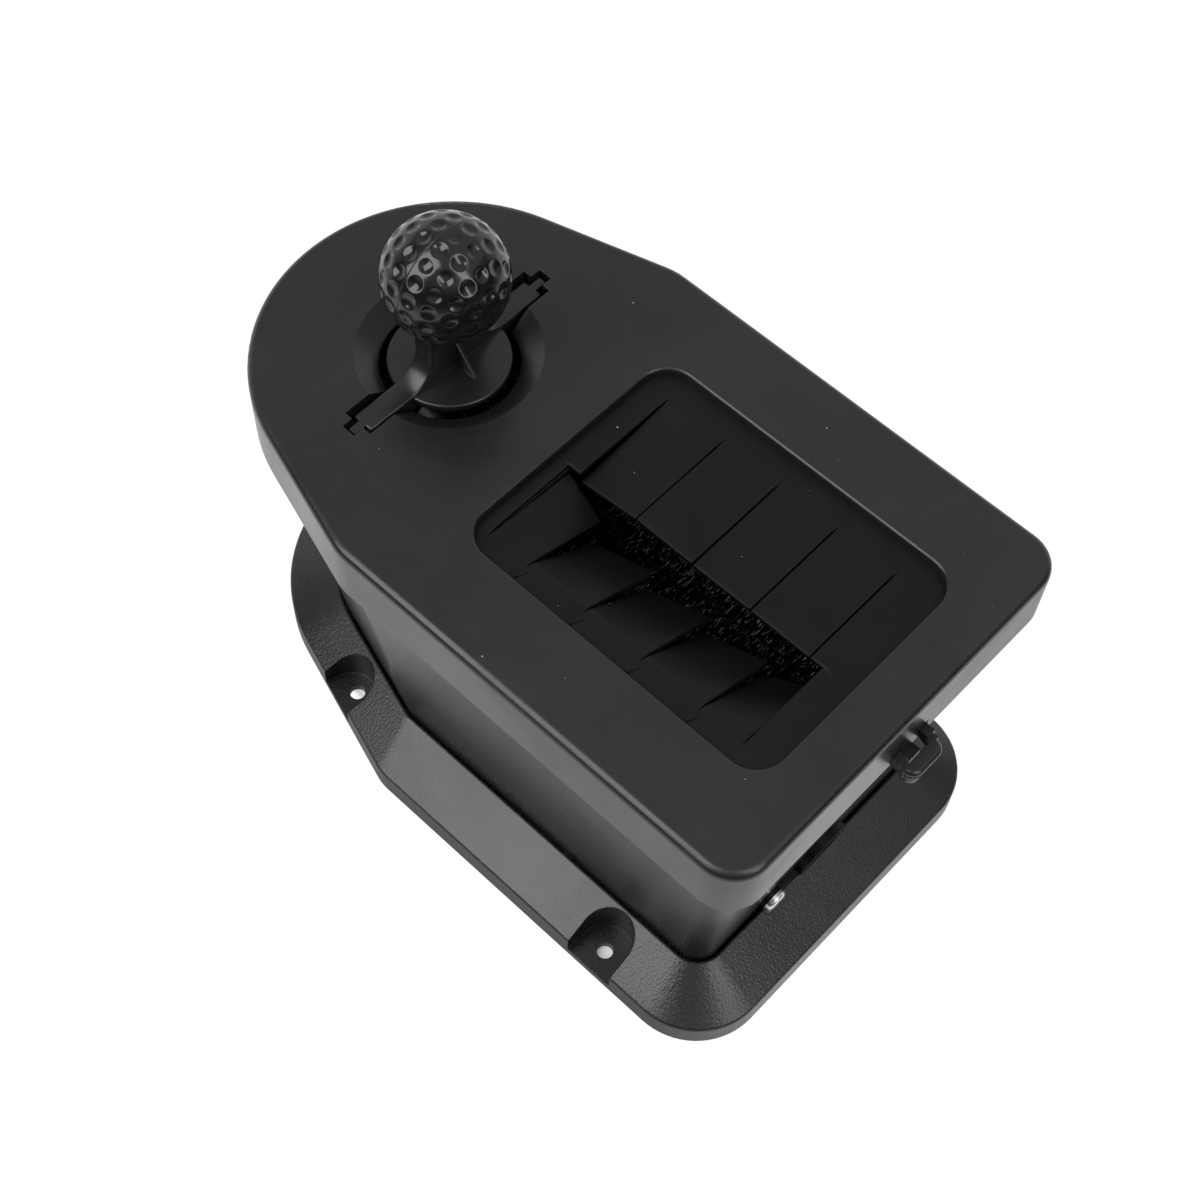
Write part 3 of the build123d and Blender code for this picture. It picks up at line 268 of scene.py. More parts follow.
def copy_of(piece, matrix):
    """Copy with its own mesh, placed by matrix."""
    twin = piece.copy()
    twin.data = piece.data.copy()
    twin.data.transform(matrix)
    bpy.context.scene.collection.objects.link(twin)
    return twin


def close_cut(piece, place, normal):
    """Cuts off what lies on the normal's side of a plane and closes the cut."""
    activate(piece)
    bpy.ops.object.mode_set(mode="EDIT")
    bpy.ops.mesh.select_all(action="SELECT")
    bpy.ops.mesh.bisect(plane_co=place, plane_no=normal, use_fill=True, clear_outer=True)
    bpy.ops.object.mode_set(mode="OBJECT")


def get_points(mesh):
    points = np.empty(len(mesh.vertices) * 3)
    mesh.vertices.foreach_get("co", points)
    return points.reshape(-1, 3)


def set_points(mesh, points):
    mesh.vertices.foreach_set("co", points.astype(np.float32).ravel())
    mesh.update()


def middle(box):
    low, high = box
    return (low + high) / 2


def finish_piece(piece, body, slot, *nodes):
    """Gives a piece its finish, its body and the solids that it stands for."""
    piece.data.materials.clear()
    piece.data.materials.append(bpy.data.materials[FINISH_OF_SLOT[slot]])
    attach(piece, body)
    if nodes:
        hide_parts(*nodes)
    return piece


# ---------------------------------------------------------------- shader groups
class Nodes:
    """Short way to add and link nodes in one tree."""

    def __init__(self, tree):
        self.tree = tree

    def add(self, kind, inputs=None, **values):
        node = self.tree.nodes.new(kind)
        for key, value in values.items():
            setattr(node, key, value)
        for key, value in (inputs or {}).items():
            if isinstance(value, bpy.types.NodeSocket):
                self.tree.links.new(value, node.inputs[key])
            else:
                node.inputs[key].default_value = value
        return node

    def math(self, operation, first, second=0.0, third=0.0, clamp=False):
        return self.add(
            "ShaderNodeMath", {0: first, 1: second, 2: third}, operation=operation, use_clamp=clamp
        ).outputs[0]

    def blend(self, share, first, second):
        """Colour mix."""
        node = self.add("ShaderNodeMix", data_type="RGBA")
        for place, value in ((0, share), (6, first), (7, second)):
            if isinstance(value, bpy.types.NodeSocket):
                self.tree.links.new(value, node.inputs[place])
            else:
                node.inputs[place].default_value = value
        return node.outputs[2]

    def span(self, value, low, high, to_low=0.0, to_high=1.0):
        return self.add(
            "ShaderNodeMapRange",
            {"Value": value, "From Min": low, "From Max": high, "To Min": to_low, "To Max": to_high},
        ).outputs["Result"]


def new_group(name, inputs, outputs):
    """Empty node group with the named sockets; inputs carry their defaults."""
    group = bpy.data.node_groups.new(name, "ShaderNodeTree")
    for label, kind, default in inputs:
        socket = group.interface.new_socket(label, in_out="INPUT", socket_type=kind)
        socket.default_value = default
    for label, kind in outputs:
        group.interface.new_socket(label, in_out="OUTPUT", socket_type=kind)
    nodes = Nodes(group)
    entry = group.nodes.new("NodeGroupInput")
    leave = group.nodes.new("NodeGroupOutput")
    return group, nodes, entry.outputs, leave.inputs


FLOAT = "NodeSocketFloat"
VECTOR = "NodeSocketVector"


def grain_group():
    """Fine spark-eroded grain of a moulded surface."""
    group, n, given, result = new_group(
        "Moulded grain",
        [("Place", VECTOR, (0, 0, 0)), ("Width", FLOAT, 0.0005)],
        [("Height", FLOAT), ("Tone", FLOAT)],
    )
    scale = n.math("DIVIDE", 1.0, given["Width"])
    fine = n.add(
        "ShaderNodeTexNoise", {"Vector": given["Place"], "Scale": scale, "Detail": 2.0, "Roughness": 0.6}
    ).outputs["Fac"]
    pits = n.add(
        "ShaderNodeTexVoronoi", {"Vector": given["Place"], "Scale": scale}, feature="SMOOTH_F1"
    ).outputs["Distance"]
    height = n.math("MULTIPLY_ADD", pits, 0.6, fine)
    n.tree.links.new(height, result["Height"])
    n.tree.links.new(n.span(fine, 0.3, 0.7), result["Tone"])
    return group


def wear_group():
    """Handling marks: slow cloudy change, faint hairlines and fine specks of dust."""
    group, n, given, result = new_group(
        "Handling marks",
        [("Place", VECTOR, (0, 0, 0)), ("Dust", FLOAT, 0.5)],
        [("Cloud", FLOAT), ("Hairlines", FLOAT), ("Specks", FLOAT)],
    )
    broad = n.add(
        "ShaderNodeTexNoise",
        {"Vector": given["Place"], "Scale": 17.0, "Detail": 5.0, "Roughness": 0.62, "Distortion": 0.6},
    ).outputs["Fac"]
    n.tree.links.new(n.span(broad, 0.3, 0.7), result["Cloud"])
    turned = n.add(
        "ShaderNodeMapping",
        {"Vector": given["Place"], "Rotation": (0.3, 0.2, 0.9), "Scale": (14.0, 900.0, 900.0)},
    ).outputs["Vector"]
    streak = n.add("ShaderNodeTexNoise", {"Vector": turned, "Scale": 1.0, "Detail": 1.0}).outputs["Fac"]
    patch = n.add(
        "ShaderNodeTexNoise", {"Vector": given["Place"], "Scale": 32.0, "Detail": 1.0}
    ).outputs["Fac"]
    lines = n.math("MULTIPLY", n.span(streak, 0.73, 0.78), n.span(patch, 0.52, 0.62))
    n.tree.links.new(lines, result["Hairlines"])
    cells = n.add("ShaderNodeTexVoronoi", {"Vector": given["Place"], "Scale": 150.0, "Randomness": 1.0})
    chance = n.add("ShaderNodeSeparateColor", {"Color": cells.outputs["Color"]}).outputs[0]
    radius = n.math("MULTIPLY", chance, 0.062)
    near = n.math("LESS_THAN", cells.outputs["Distance"], radius)
    kept = n.math("LESS_THAN", chance, given["Dust"])
    n.tree.links.new(n.math("MULTIPLY", near, kept), result["Specks"])
    return group


def edge_group():
    """Soft rounding of moulded edges, and a mask of them for wear and for a painted edge highlight."""
    group, n, given, result = new_group(
        "Moulded edges", [("Radius", FLOAT, 0.0004)], [("Normal", VECTOR), ("Edge", FLOAT)]
    )
    rounded = n.add("ShaderNodeBevel", {"Radius": given["Radius"]}, samples=6).outputs["Normal"]
    facing = n.add("ShaderNodeNewGeometry").outputs["Normal"]
    agree = n.add("ShaderNodeVectorMath", {0: rounded, 1: facing}, operation="DOT_PRODUCT").outputs["Value"]
    n.tree.links.new(rounded, result["Normal"])
    n.tree.links.new(n.span(agree, 0.99, 0.8), result["Edge"])
    return group


FINISH_OF_SLOT = {
    "shell_plastic": "Satin shell",
    "base_plastic": "Grained base",
    "knob_plastic": "Gloss knob",
    "rubber": "Dull rubber",
    "brush_back": "Brush back",
    "bristle": "Nylon bristle",
    "steel": "Zinc steel",
}


def start_material(name):
    material = bpy.data.materials.new(name)
    material.use_nodes = True
    n = Nodes(material.node_tree)
    shader = material.node_tree.nodes["Principled BSDF"]
    place = n.add("ShaderNodeTexCoord").outputs["Object"]
    return n, shader, place


def moulded_material(name, groups, values, tint, roughness, width, relief, dust, tone_swing):
    """Moulded plastic or rubber: grain, handling marks and softened edges, lightened partly by wear and
    partly by a painted highlight.
    """
    grain, wear, edges = groups
    n, shader, place = start_material(name)
    link = n.tree.links.new
    moulded = n.add("ShaderNodeGroup", node_tree=grain)
    link(place, moulded.inputs["Place"])
    moulded.inputs["Width"].default_value = width
    marks = n.add("ShaderNodeGroup", node_tree=wear)
    link(place, marks.inputs["Place"])
    marks.inputs["Dust"].default_value = dust
    rounded = n.add("ShaderNodeGroup", node_tree=edges)
    rounded.inputs["Radius"].default_value = values.edge_radius
    dark = tuple(c * (1 - tone_swing) for c in tint) + (1,)
    light = tuple(min(1, c * (1 + tone_swing)) for c in tint) + (1,)
    worn_and_highlit = tuple(min(1, c * 1.9 + 0.004) for c in tint) + (1,)
    dusty = (0.3, 0.295, 0.285, 1)
    slow = n.math("MULTIPLY", marks.outputs["Cloud"], 0.65)
    cloud = n.math("MULTIPLY_ADD", moulded.outputs["Tone"], 0.35, slow)
    body = n.blend(cloud, dark, light)
    # Edges are lightened: partly edge wear, partly a painted highlight on their rounding; the hairline
    # scratches below take the same light colour.
    body = n.blend(n.math("MULTIPLY", rounded.outputs["Edge"], 0.45), body, worn_and_highlit)
    body = n.blend(n.math("MULTIPLY", marks.outputs["Hairlines"], 0.3), body, worn_and_highlit)
    body = n.blend(marks.outputs["Specks"], body, dusty)
    link(body, shader.inputs["Base Color"])
    sheen = n.math("MULTIPLY_ADD", marks.outputs["Cloud"], 0.14, roughness - 0.07)
    sheen = n.math("MULTIPLY_ADD", marks.outputs["Hairlines"], 0.12, sheen)
    link(n.math("MULTIPLY_ADD", marks.outputs["Specks"], 0.3, sheen, clamp=True), shader.inputs["Roughness"])
    relief_node = n.add(
        "ShaderNodeBump",
        {
            "Strength": 1.0,
            "Distance": relief,
            "Height": moulded.outputs["Height"],
            "Normal": rounded.outputs["Normal"],
        },
    )
    link(relief_node.outputs["Normal"], shader.inputs["Normal"])
    return shader


def nylon_material(name, tint):
    """Slightly glossy filaments, mostly near black, with painted glints: bright patches from a noise stand
    in for light caught by the bristles.
    """
    n, shader, place = start_material(name)
    tone = n.add("ShaderNodeTexNoise", {"Vector": place, "Scale": 420.0, "Detail": 1.0}).outputs["Fac"]
    low = tuple(c * 0.06 for c in tint) + (1,)
    high = tuple(min(1, c * 3.0) for c in tint) + (1,)
    # Painted glints: the noise makes a few patches far lighter than the rest of the bristles.
    n.tree.links.new(n.blend(n.span(tone, 0.58, 0.66), low, high), shader.inputs["Base Color"])
    n.tree.links.new(n.span(tone, 0.3, 0.7, 0.2, 0.35), shader.inputs["Roughness"])
    return shader


def steel_material(name, tint):
    """Zinc plating with a fine crystalline change of tone."""
    n, shader, place = start_material(name)
    spots = n.add("ShaderNodeTexNoise", {"Vector": place, "Scale": 1400.0, "Detail": 3.0}).outputs["Fac"]
    low = tuple(c * 0.82 for c in tint) + (1,)
    high = tuple(min(1, c * 1.12) for c in tint) + (1,)
    n.tree.links.new(n.blend(spots, low, high), shader.inputs["Base Color"])
    n.tree.links.new(n.span(spots, 0.3, 0.7, 0.24, 0.42), shader.inputs["Roughness"])
    shader.inputs["Metallic"].default_value = 1.0
    bump = n.add("ShaderNodeBump", {"Distance": 0.00002, "Height": spots})
    n.tree.links.new(bump.outputs["Normal"], shader.inputs["Normal"])
    return shader


class WASHER_OT_finishes(bpy.types.Operator):
    """Makes the finishes and gives each solid its own"""

    bl_idname = "washer.finishes"
    bl_label = "Moulded finishes"

    def execute(self, context):
        f = context.scene.washer_finishes
        groups = (grain_group(), wear_group(), edge_group())
        moulded_material(
            "Satin shell", groups, f, f.shell, f.shell_roughness, f.grain, 0.00002, f.dust, 0.35
        )
        moulded_material(
            "Grained base", groups, f, f.base, f.base_roughness, f.coarse_grain, 0.00009, f.dust, 0.4
        )
        moulded_material(
            "Gloss knob", groups, f, f.knob, f.knob_roughness, f.grain, 0.000004, f.dust * 0.6, 0.12
        )
        rubber = moulded_material(
            "Dull rubber", groups, f, f.rubber, f.rubber_roughness, f.coarse_grain, 0.00003, f.dust, 0.55
        )
        rubber.inputs["Specular IOR Level"].default_value = 0.2
        moulded_material("Brush back", groups, f, f.brush_back, 0.5, f.grain, 0.00002, 0.2, 0.2)
        nylon_material("Nylon bristle", f.nylon)
        steel_material("Zinc steel", f.steel)
        for slot, nodes in SLOT_NODES.items():
            finish = bpy.data.materials[FINISH_OF_SLOT[slot]]
            for name in nodes:
                node = frame["nodes"][name]
                if not node.material_slots:
                    node.data.materials.append(finish)
                for place in node.material_slots:
                    place.material = finish
        return {"FINISHED"}


# ---------------------------------------------------------------- ball knob
DIMPLE_ROWS = (  # latitude from the parting plane, dimples round the row, turn of the first one, in degrees
    (9.6, 20, 4.3),
    (29.0, 18, 10.1),
    (48.5, 14, 3.0),
    (68.0, 7, 1.0),
    (90.0, 1, 0.0),
)


def dimple_directions():
    """Unit directions of the dimples; the parting plane stands upright across the washer."""
    found = []
    for latitude, count, turn in DIMPLE_ROWS:
        for side in (-1, 1):
            tilt = math.radians(latitude) * side
            for k in range(count):
                around = math.radians(turn + 360.0 * k / count)
                ring = math.cos(tilt)
                found.append((ring * math.sin(around), math.sin(tilt), ring * math.cos(around)))
    return np.array(found)


def press_dimples(mesh, centre, radius, values):
    """Moves the sphere's points inwards where a dimple lies."""
    points = get_points(mesh)
    away = points - np.array(centre)
    away /= np.linalg.norm(away, axis=1)[:, None]
    nearest = np.clip((away @ dimple_directions().T).max(1), -1, 1)
    reach = np.arccos(nearest) * radius / (values.dimple_width / 2)
    bowl = 1 - reach**2
    rim = values.rim_round
    rounded = np.where(bowl > rim, bowl, np.clip(bowl + rim, 0, None) ** 2 / (4 * rim))
    set_points(mesh, np.array(centre) + away * (radius - values.dimple_depth * rounded)[:, None])


class WASHER_OT_knob(bpy.types.Operator):
    """Golf-ball knob with its dimples and the mould's parting ridge"""

    bl_idname = "washer.knob"
    bl_label = "Ball knob"

    def execute(self, context):
        values = context.scene.washer_knob
        low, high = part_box("plunger_knob")
        radius = (high.x - low.x) / 2
        centre = Vector(((low.x + high.x) / 2, (low.y + high.y) / 2, high.z - radius))
        start_piece()
        bpy.ops.mesh.primitive_ico_sphere_add(subdivisions=7, radius=radius, location=centre)
        ball = new_piece("knob_ball")
        press_dimples(ball.data, centre, radius, values)
        start_piece()
        bpy.ops.mesh.primitive_torus_add(
            location=centre,
            rotation=(math.pi / 2, 0, 0),
            major_radius=radius,
            minor_radius=values.ridge,
            major_segments=240,
            minor_segments=8,
        )
        ridge = new_piece("knob_ridge")
        knob = join([ball, ridge], "dimpled_knob")
        close_cut(knob, (0, 0, low.z), (0, 0, -1))
        smooth(knob, math.radians(50))
        finish_piece(knob, "plunger", "knob_plastic", "plunger_knob")
        return {"FINISHED"}


# ---------------------------------------------------------------- paddle
SWEEP_STEPS = 12


def slab(name, outline, first, last, along_x=False):
    """Outline in X and Z made solid from first to last along Y, or one in Y and Z along X."""
    start_piece()
    bpy.ops.mesh.primitive_circle_add(vertices=len(outline), fill_type="NGON")
    piece = new_piece(name)
    places = [(first, a, b) if along_x else (a, first, b) for a, b in outline]
    set_points(piece.data, np.array(places))
    activate(piece)
    bpy.ops.object.mode_set(mode="EDIT")
    bpy.ops.mesh.select_all(action="SELECT")
    depth = last - first
    reach = (depth, 0, 0) if along_x else (0, depth, 0)
    bpy.ops.mesh.extrude_region_move(TRANSFORM_OT_translate={"value": reach})
    bpy.ops.mesh.select_all(action="SELECT")
    bpy.ops.mesh.normals_make_consistent(inside=False)
    bpy.ops.object.mode_set(mode="OBJECT")
    return piece


def block(name, x, y, z):
    """Box between the given pairs."""
    return slab(name, ((x[0], z[0]), (x[1], z[0]), (x[1], z[1]), (x[0], z[1])), *y)


def disc(name, centre, radius, depth, turn=(0, 0, 0)):
    start_piece()
    bpy.ops.mesh.primitive_cylinder_add(
        vertices=96, radius=radius, depth=depth, location=centre, rotation=turn
    )
    return new_piece(name)


def combine(body, others, operation="UNION"):
    """Adds others to the body, or cuts them out of it."""
    for other in others:
        add_modifier(body, "BOOLEAN", operation=operation, object=other, solver="EXACT")
        bpy.data.objects.remove(other)


def round_edges(piece, width):
    add_modifier(piece, "BEVEL", width=width, segments=3, limit_method="ANGLE", angle_limit=math.radians(40))


def yoke_outline(values, top, neck):
    """Front view of the cross bar that sweeps up into the stem on both sides."""
    right = [(values.bar_half, top - values.bar_height), (values.bar_half, top)]
    for k in range(SWEEP_STEPS + 1):
        turn = math.pi / 2 * k / SWEEP_STEPS
        out = values.stem_half + values.sweep * (1 - math.sin(turn))
        right.append((out, top + values.sweep * (1 - math.cos(turn))))
    right.append((values.stem_half, neck))
    return right + [(-x, z) for x, z in reversed(right)]


class WASHER_OT_paddle(bpy.types.Operator):
    """Moulded paddle: rails, ball ring, cross bar that sweeps up into the stem, fins and cap disc"""

    bl_idname = "washer.paddle"
    bl_label = "Paddle"

    def execute(self, context):
        v = context.scene.washer_paddle
        low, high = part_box("plunger_paddle")
        lid_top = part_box("lid")[1].z
        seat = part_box("plunger_knob")[0].z
        y = middle((low, high)).y
        depth = (y - v.width / 2, y + v.width / 2)
        wide = (y - v.width, y + v.width)
        bar_top = lid_top - v.bar_drop
        sill = bar_top - v.bar_height
        lap = v.edge * 2
        half = v.bar_half
        across = (math.pi / 2, 0, 0)
        ring = (0, y, lid_top - v.ring_drop)
        web_z = (ring[2] - v.web / 2, ring[2] + v.web / 2)
        paddle = block("paddle", (-half, half), depth, (low.z, sill + lap))
        window = block("window", (v.rail - half, half - v.rail), wide, (low.z + v.rail, sill))
        combine(paddle, [window], "DIFFERENCE")
        combine(
            paddle,
            [
                disc("ring", ring, v.ring + v.ring_wall, v.width, across),
                block("web", (lap - half, half - lap), depth, web_z),
                block("post", (-v.post / 2, v.post / 2), depth, (ring[2], sill + lap)),
            ],
        )
        combine(paddle, [disc("bore", ring, v.ring, 2 * v.width, across)], "DIFFERENCE")
        yoke = slab("yoke", yoke_outline(v, bar_top, seat), *depth)
        round_edges(yoke, v.edge)
        cap = disc("cap", (0, y, lid_top - v.cap_drop - v.cap_thickness / 2), v.cap, v.cap_thickness)
        round_edges(cap, v.edge)
        foot = lid_top - v.cap_drop - v.cap_thickness / 2
        top = lid_top + v.fin_up
        shin = v.width / 2 - v.edge
        outline = ((y - v.fin_reach, foot), (y + v.fin_reach, foot), (y + shin, top), (y - shin, top))
        fin = slab("fin", outline, -v.fin_thickness / 2, v.fin_thickness / 2, along_x=True)
        round_edges(fin, v.edge / 2)
        spigot = disc("spigot", (0, y, (seat + high.z) / 2 - v.edge), v.spigot, high.z - seat + 2 * v.edge)
        tongue = (y - v.tongue / 2, y + v.tongue / 2)
        sides = []
        for side in (-1, 1):
            edge = sorted((side * (half - lap), side * v.tongue_half))
            stop = sorted((side * (half - lap), side * high.x))
            sides.append(block("tongue", edge, tongue, (low.z, bar_top)))
            sides.append(block("stop", stop, tongue, (low.z, low.z + v.stop_height)))
        combine(paddle, [yoke, cap, fin, spigot] + sides)
        smooth(paddle)
        finish_piece(paddle, "plunger", "shell_plastic", "plunger_paddle")
        return {"FINISHED"}


# ---------------------------------------------------------------- rubber flaps
RIGHT_FINGERS = (  # droop of each finger's front and back edge at its tip, from the front, in degrees
    (0.0, 0.0),
    (0.2, 0.2),
    (0.0, 0.8),
    (0.2, 0.2),
    (0.5, 5.5),
    (0.0, 0.0),
)
LEFT_FINGERS = (
    (18.0, 33.0),
    (24.0, 36.0),
    (25.0, 37.0),
    (25.0, 36.0),
    (21.0, 6.0),
)


BORDER_STEPS = 3
FINGER_STEPS = 26
ROWS_BETWEEN_CUTS = 5
CUT_OPENS_OVER = 0.004  # from a cut's root to where it has its full width


def sheet_rows(cuts, low, high):
    """Places of the grid's rows, so that every cut lies on a row."""
    stops = [low] + list(cuts) + [high]
    rows = []
    for near, far in zip(stops, stops[1:]):
        rows += [near + (far - near) * k / ROWS_BETWEEN_CUTS for k in range(ROWS_BETWEEN_CUTS)]
    return rows + [high]


def bend(points, root, side, droop, radius, top):
    """Droops points beyond root: over an arc first, then straight; droop is one angle per point."""
    along = (points[:, 0] - root) * side
    arc = droop * radius
    on_arc = np.clip(along, 0, arc)
    turn = np.divide(on_arc, radius)
    rest = np.clip(along - arc, 0, None)
    reach = radius * np.sin(turn) + rest * np.cos(turn)
    drop = radius * (1 - np.cos(turn)) + rest * np.sin(turn)
    moved = points.copy()
    beyond = along > 0
    moved[beyond, 0] = root + side * reach[beyond]
    moved[beyond, 2] = top - drop[beyond]
    return moved


def make_sheet(name, node, outer, inner, root, rows, cuts, droops, values):
    """One rubber sheet without its thickness: a grid cut into fingers and bent finger by finger."""
    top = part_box(node)[1].z
    side = 1 if inner > outer else -1
    columns = [outer + (root - outer) * k / BORDER_STEPS for k in range(BORDER_STEPS)]
    columns += [root + (inner - root) * k / FINGER_STEPS for k in range(FINGER_STEPS + 1)]
    start_piece()
    bpy.ops.mesh.primitive_grid_add(x_subdivisions=len(columns) - 1, y_subdivisions=len(rows) - 1, size=2.0)
    sheet = new_piece(name)
    points = get_points(sheet.data)
    across = np.rint((points[:, 0] + 1) / 2 * (len(columns) - 1)).astype(int)
    along = np.rint((points[:, 1] + 1) / 2 * (len(rows) - 1)).astype(int)
    flat = np.stack([np.array(columns)[across], np.array(rows)[along], np.full(len(points), top)], 1)
    set_points(sheet.data, flat)
    split_cuts(sheet, cuts, root, side)
    bend_fingers(sheet, cuts, root, side, droops, values, top)
    face_up(sheet)
    return sheet


def thicken(sheet, values):
    """Joins what touches and gives the rubber its thickness and its rounded edges."""
    activate(sheet)
    bpy.ops.object.mode_set(mode="EDIT")
    bpy.ops.mesh.select_all(action="SELECT")
    bpy.ops.mesh.remove_doubles(threshold=1e-6)
    bpy.ops.object.mode_set(mode="OBJECT")
    add_modifier(sheet, "SOLIDIFY", thickness=values.thickness, offset=-1.0)
    add_modifier(
        sheet,
        "BEVEL",
        width=values.edge_round,
        segments=2,
        limit_method="ANGLE",
        angle_limit=math.radians(50),
    )
    smooth(sheet)


def face_up(sheet):
    """Turns the sheet's faces upwards before it gets its thickness."""
    activate(sheet)
    if sum(face.normal.z for face in sheet.data.polygons) < 0:
        bpy.ops.object.mode_set(mode="EDIT")
        bpy.ops.mesh.select_all(action="SELECT")
        bpy.ops.mesh.flip_normals()
        bpy.ops.object.mode_set(mode="OBJECT")


def split_cuts(sheet, cuts, root, side):
    """Parts the sheet along each cut, from its root to the free edge."""
    activate(sheet)
    bpy.ops.object.mode_set(mode="EDIT")
    bpy.ops.mesh.select_mode(type="EDGE")
    bpy.ops.mesh.select_all(action="DESELECT")
    mesh = bmesh.from_edit_mesh(sheet.data)
    for edge in mesh.edges:
        a, b = (v.co for v in edge.verts)
        on_cut = any(abs(a.y - y) < 1e-6 and abs(b.y - y) < 1e-6 for y in cuts)
        if on_cut and min((a.x - root) * side, (b.x - root) * side) > -1e-6:
            edge.select = True
    bmesh.update_edit_mesh(sheet.data)
    bpy.ops.mesh.edge_split(type="EDGE")
    bpy.ops.mesh.select_mode(type="VERT")
    bpy.ops.object.mode_set(mode="OBJECT")


def bend_fingers(sheet, cuts, root, side, droops, values, top):
    """Opens the cuts and droops each finger, its two long edges by their own angles."""
    mesh = sheet.data
    points = get_points(mesh)
    stops = [points[:, 1].min()] + list(cuts) + [points[:, 1].max()]
    owner = np.full(len(points), -1)
    for face in mesh.polygons:
        if (face.center.x - root) * side > 0:
            finger = sum(face.center.y > y for y in cuts)
            for index in face.vertices:
                owner[index] = finger
    droop = np.zeros(len(points))
    moved = points.copy()
    for finger in range(len(cuts) + 1):
        mine = owner == finger
        near, far = stops[finger], stops[finger + 1]
        share = (points[mine, 1] - near) / (far - near)
        start, end = droops[finger]
        droop[mine] = np.radians(start + (end - start) * share)
        open_by = np.clip((points[mine, 0] - root) * side / CUT_OPENS_OVER, 0, 1) * values.cut_width / 2
        moved[mine, 1] += open_by * (1 - 2 * share) * (np.abs(1 - 2 * share) > 0.99)
    bent = bend(moved, root, side, droop, values.bend_radius, top)
    bent[owner < 0] = points[owner < 0]
    set_points(mesh, bent)


class WASHER_OT_flaps(bpy.types.Operator):
    """The two rubber sheets of the club window, the right one flat and the left one with drooping fingers"""

    bl_idname = "washer.flaps"
    bl_label = "Rubber flaps"

    def execute(self, context):
        values = context.scene.washer_flaps
        low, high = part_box("flap_sheet_right")
        left_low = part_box("flap_sheet_left")[0]
        centre = (low.y + high.y) / 2 + values.cut_shift
        right_cuts = [centre + k * values.pitch for k in range(-2, 3)]
        inner = [centre + (k + 0.5) * values.pitch for k in range(-2, 2)]
        left_cuts = [inner[0] - values.end_finger] + inner + [inner[-1] + values.end_finger]
        rows = sheet_rows(sorted(right_cuts + left_cuts), low.y, high.y)
        right = make_sheet(
            "right_flaps",
            "flap_sheet_right",
            high.x,
            low.x,
            values.right_root,
            rows,
            right_cuts,
            RIGHT_FINGERS,
            values,
        )
        droops = ((0, 0),) + LEFT_FINGERS + ((0, 0),)
        left = make_sheet(
            "left_flaps",
            "flap_sheet_left",
            left_low.x,
            low.x,
            -values.left_root,
            rows,
            left_cuts,
            droops,
            values,
        )
        flaps = join([right, left], "rubber_flaps")
        thicken(flaps, values)
        finish_piece(flaps, "lid", "rubber", "flap_sheet_right", "flap_sheet_left")
        return {"FINISHED"}


# ---------------------------------------------------------------- brushes
TIP_TAPER = 0.35
GOLDEN_TURN = 2.4  # radians from one bristle to the next round the tuft
PLACE_JITTER = 0.0004
BALL_COLUMNS = 9
BALL_ROWS = 12


def make_tuft(name, values, span, chance):
    """One tuft of bristles along X, its root at 0 and its tips towards -X."""
    pieces = []
    for k in range(values.count):
        turn = GOLDEN_TURN * k + chance.uniform(-0.3, 0.3)
        out = math.sqrt((k + 0.5) / values.count)
        root = Vector((0, math.cos(turn), math.sin(turn))) * (values.tuft / 2 * out)
        reach = span * chance.uniform(0.86, 1.0)
        tip = root + Vector((-reach, 0, 0))
        tip += Vector((0, math.cos(turn), math.sin(turn))) * values.spread * out * chance.uniform(0.2, 1.0)
        start_piece()
        bpy.ops.mesh.primitive_cylinder_add(
            vertices=3,
            radius=values.bristle / 2,
            depth=1.0,
            end_fill_type="TRIFAN",
            rotation=(0, math.pi / 2, 0),
        )
        bristle = new_piece(f"{name}_{k}")
        points = get_points(bristle.data)
        share = (0.5 - points[:, 0])[:, None]
        line = np.array(root) + (np.array(tip) - np.array(root)) * share
        set_points(bristle.data, line + points * (0, 1, 1) * (1 - TIP_TAPER * share))
        pieces.append(bristle)
    return join(pieces, name)


def plant(name, tufts, places, chance, face):
    """Copies tufts to their places and joins them; face turns a tuft from -X to where it points."""
    copies = []
    for place in places:
        spin = Matrix.Rotation(chance.uniform(0, 2 * math.pi), 4, "X")
        size = Matrix.Diagonal((chance.uniform(0.93, 1.03), 1, 1, 1))
        lean = Matrix.Rotation(chance.uniform(-0.06, 0.06), 4, "Z")
        lean = lean @ Matrix.Rotation(chance.uniform(-0.07, 0.07), 4, "Y")
        copies.append(copy_of(chance.choice(tufts), Matrix.Translation(place) @ face @ lean @ size @ spin))
    return join(copies, name)


def even(first, last, count):
    return [first + (last - first) * k / (count - 1) for k in range(count)]


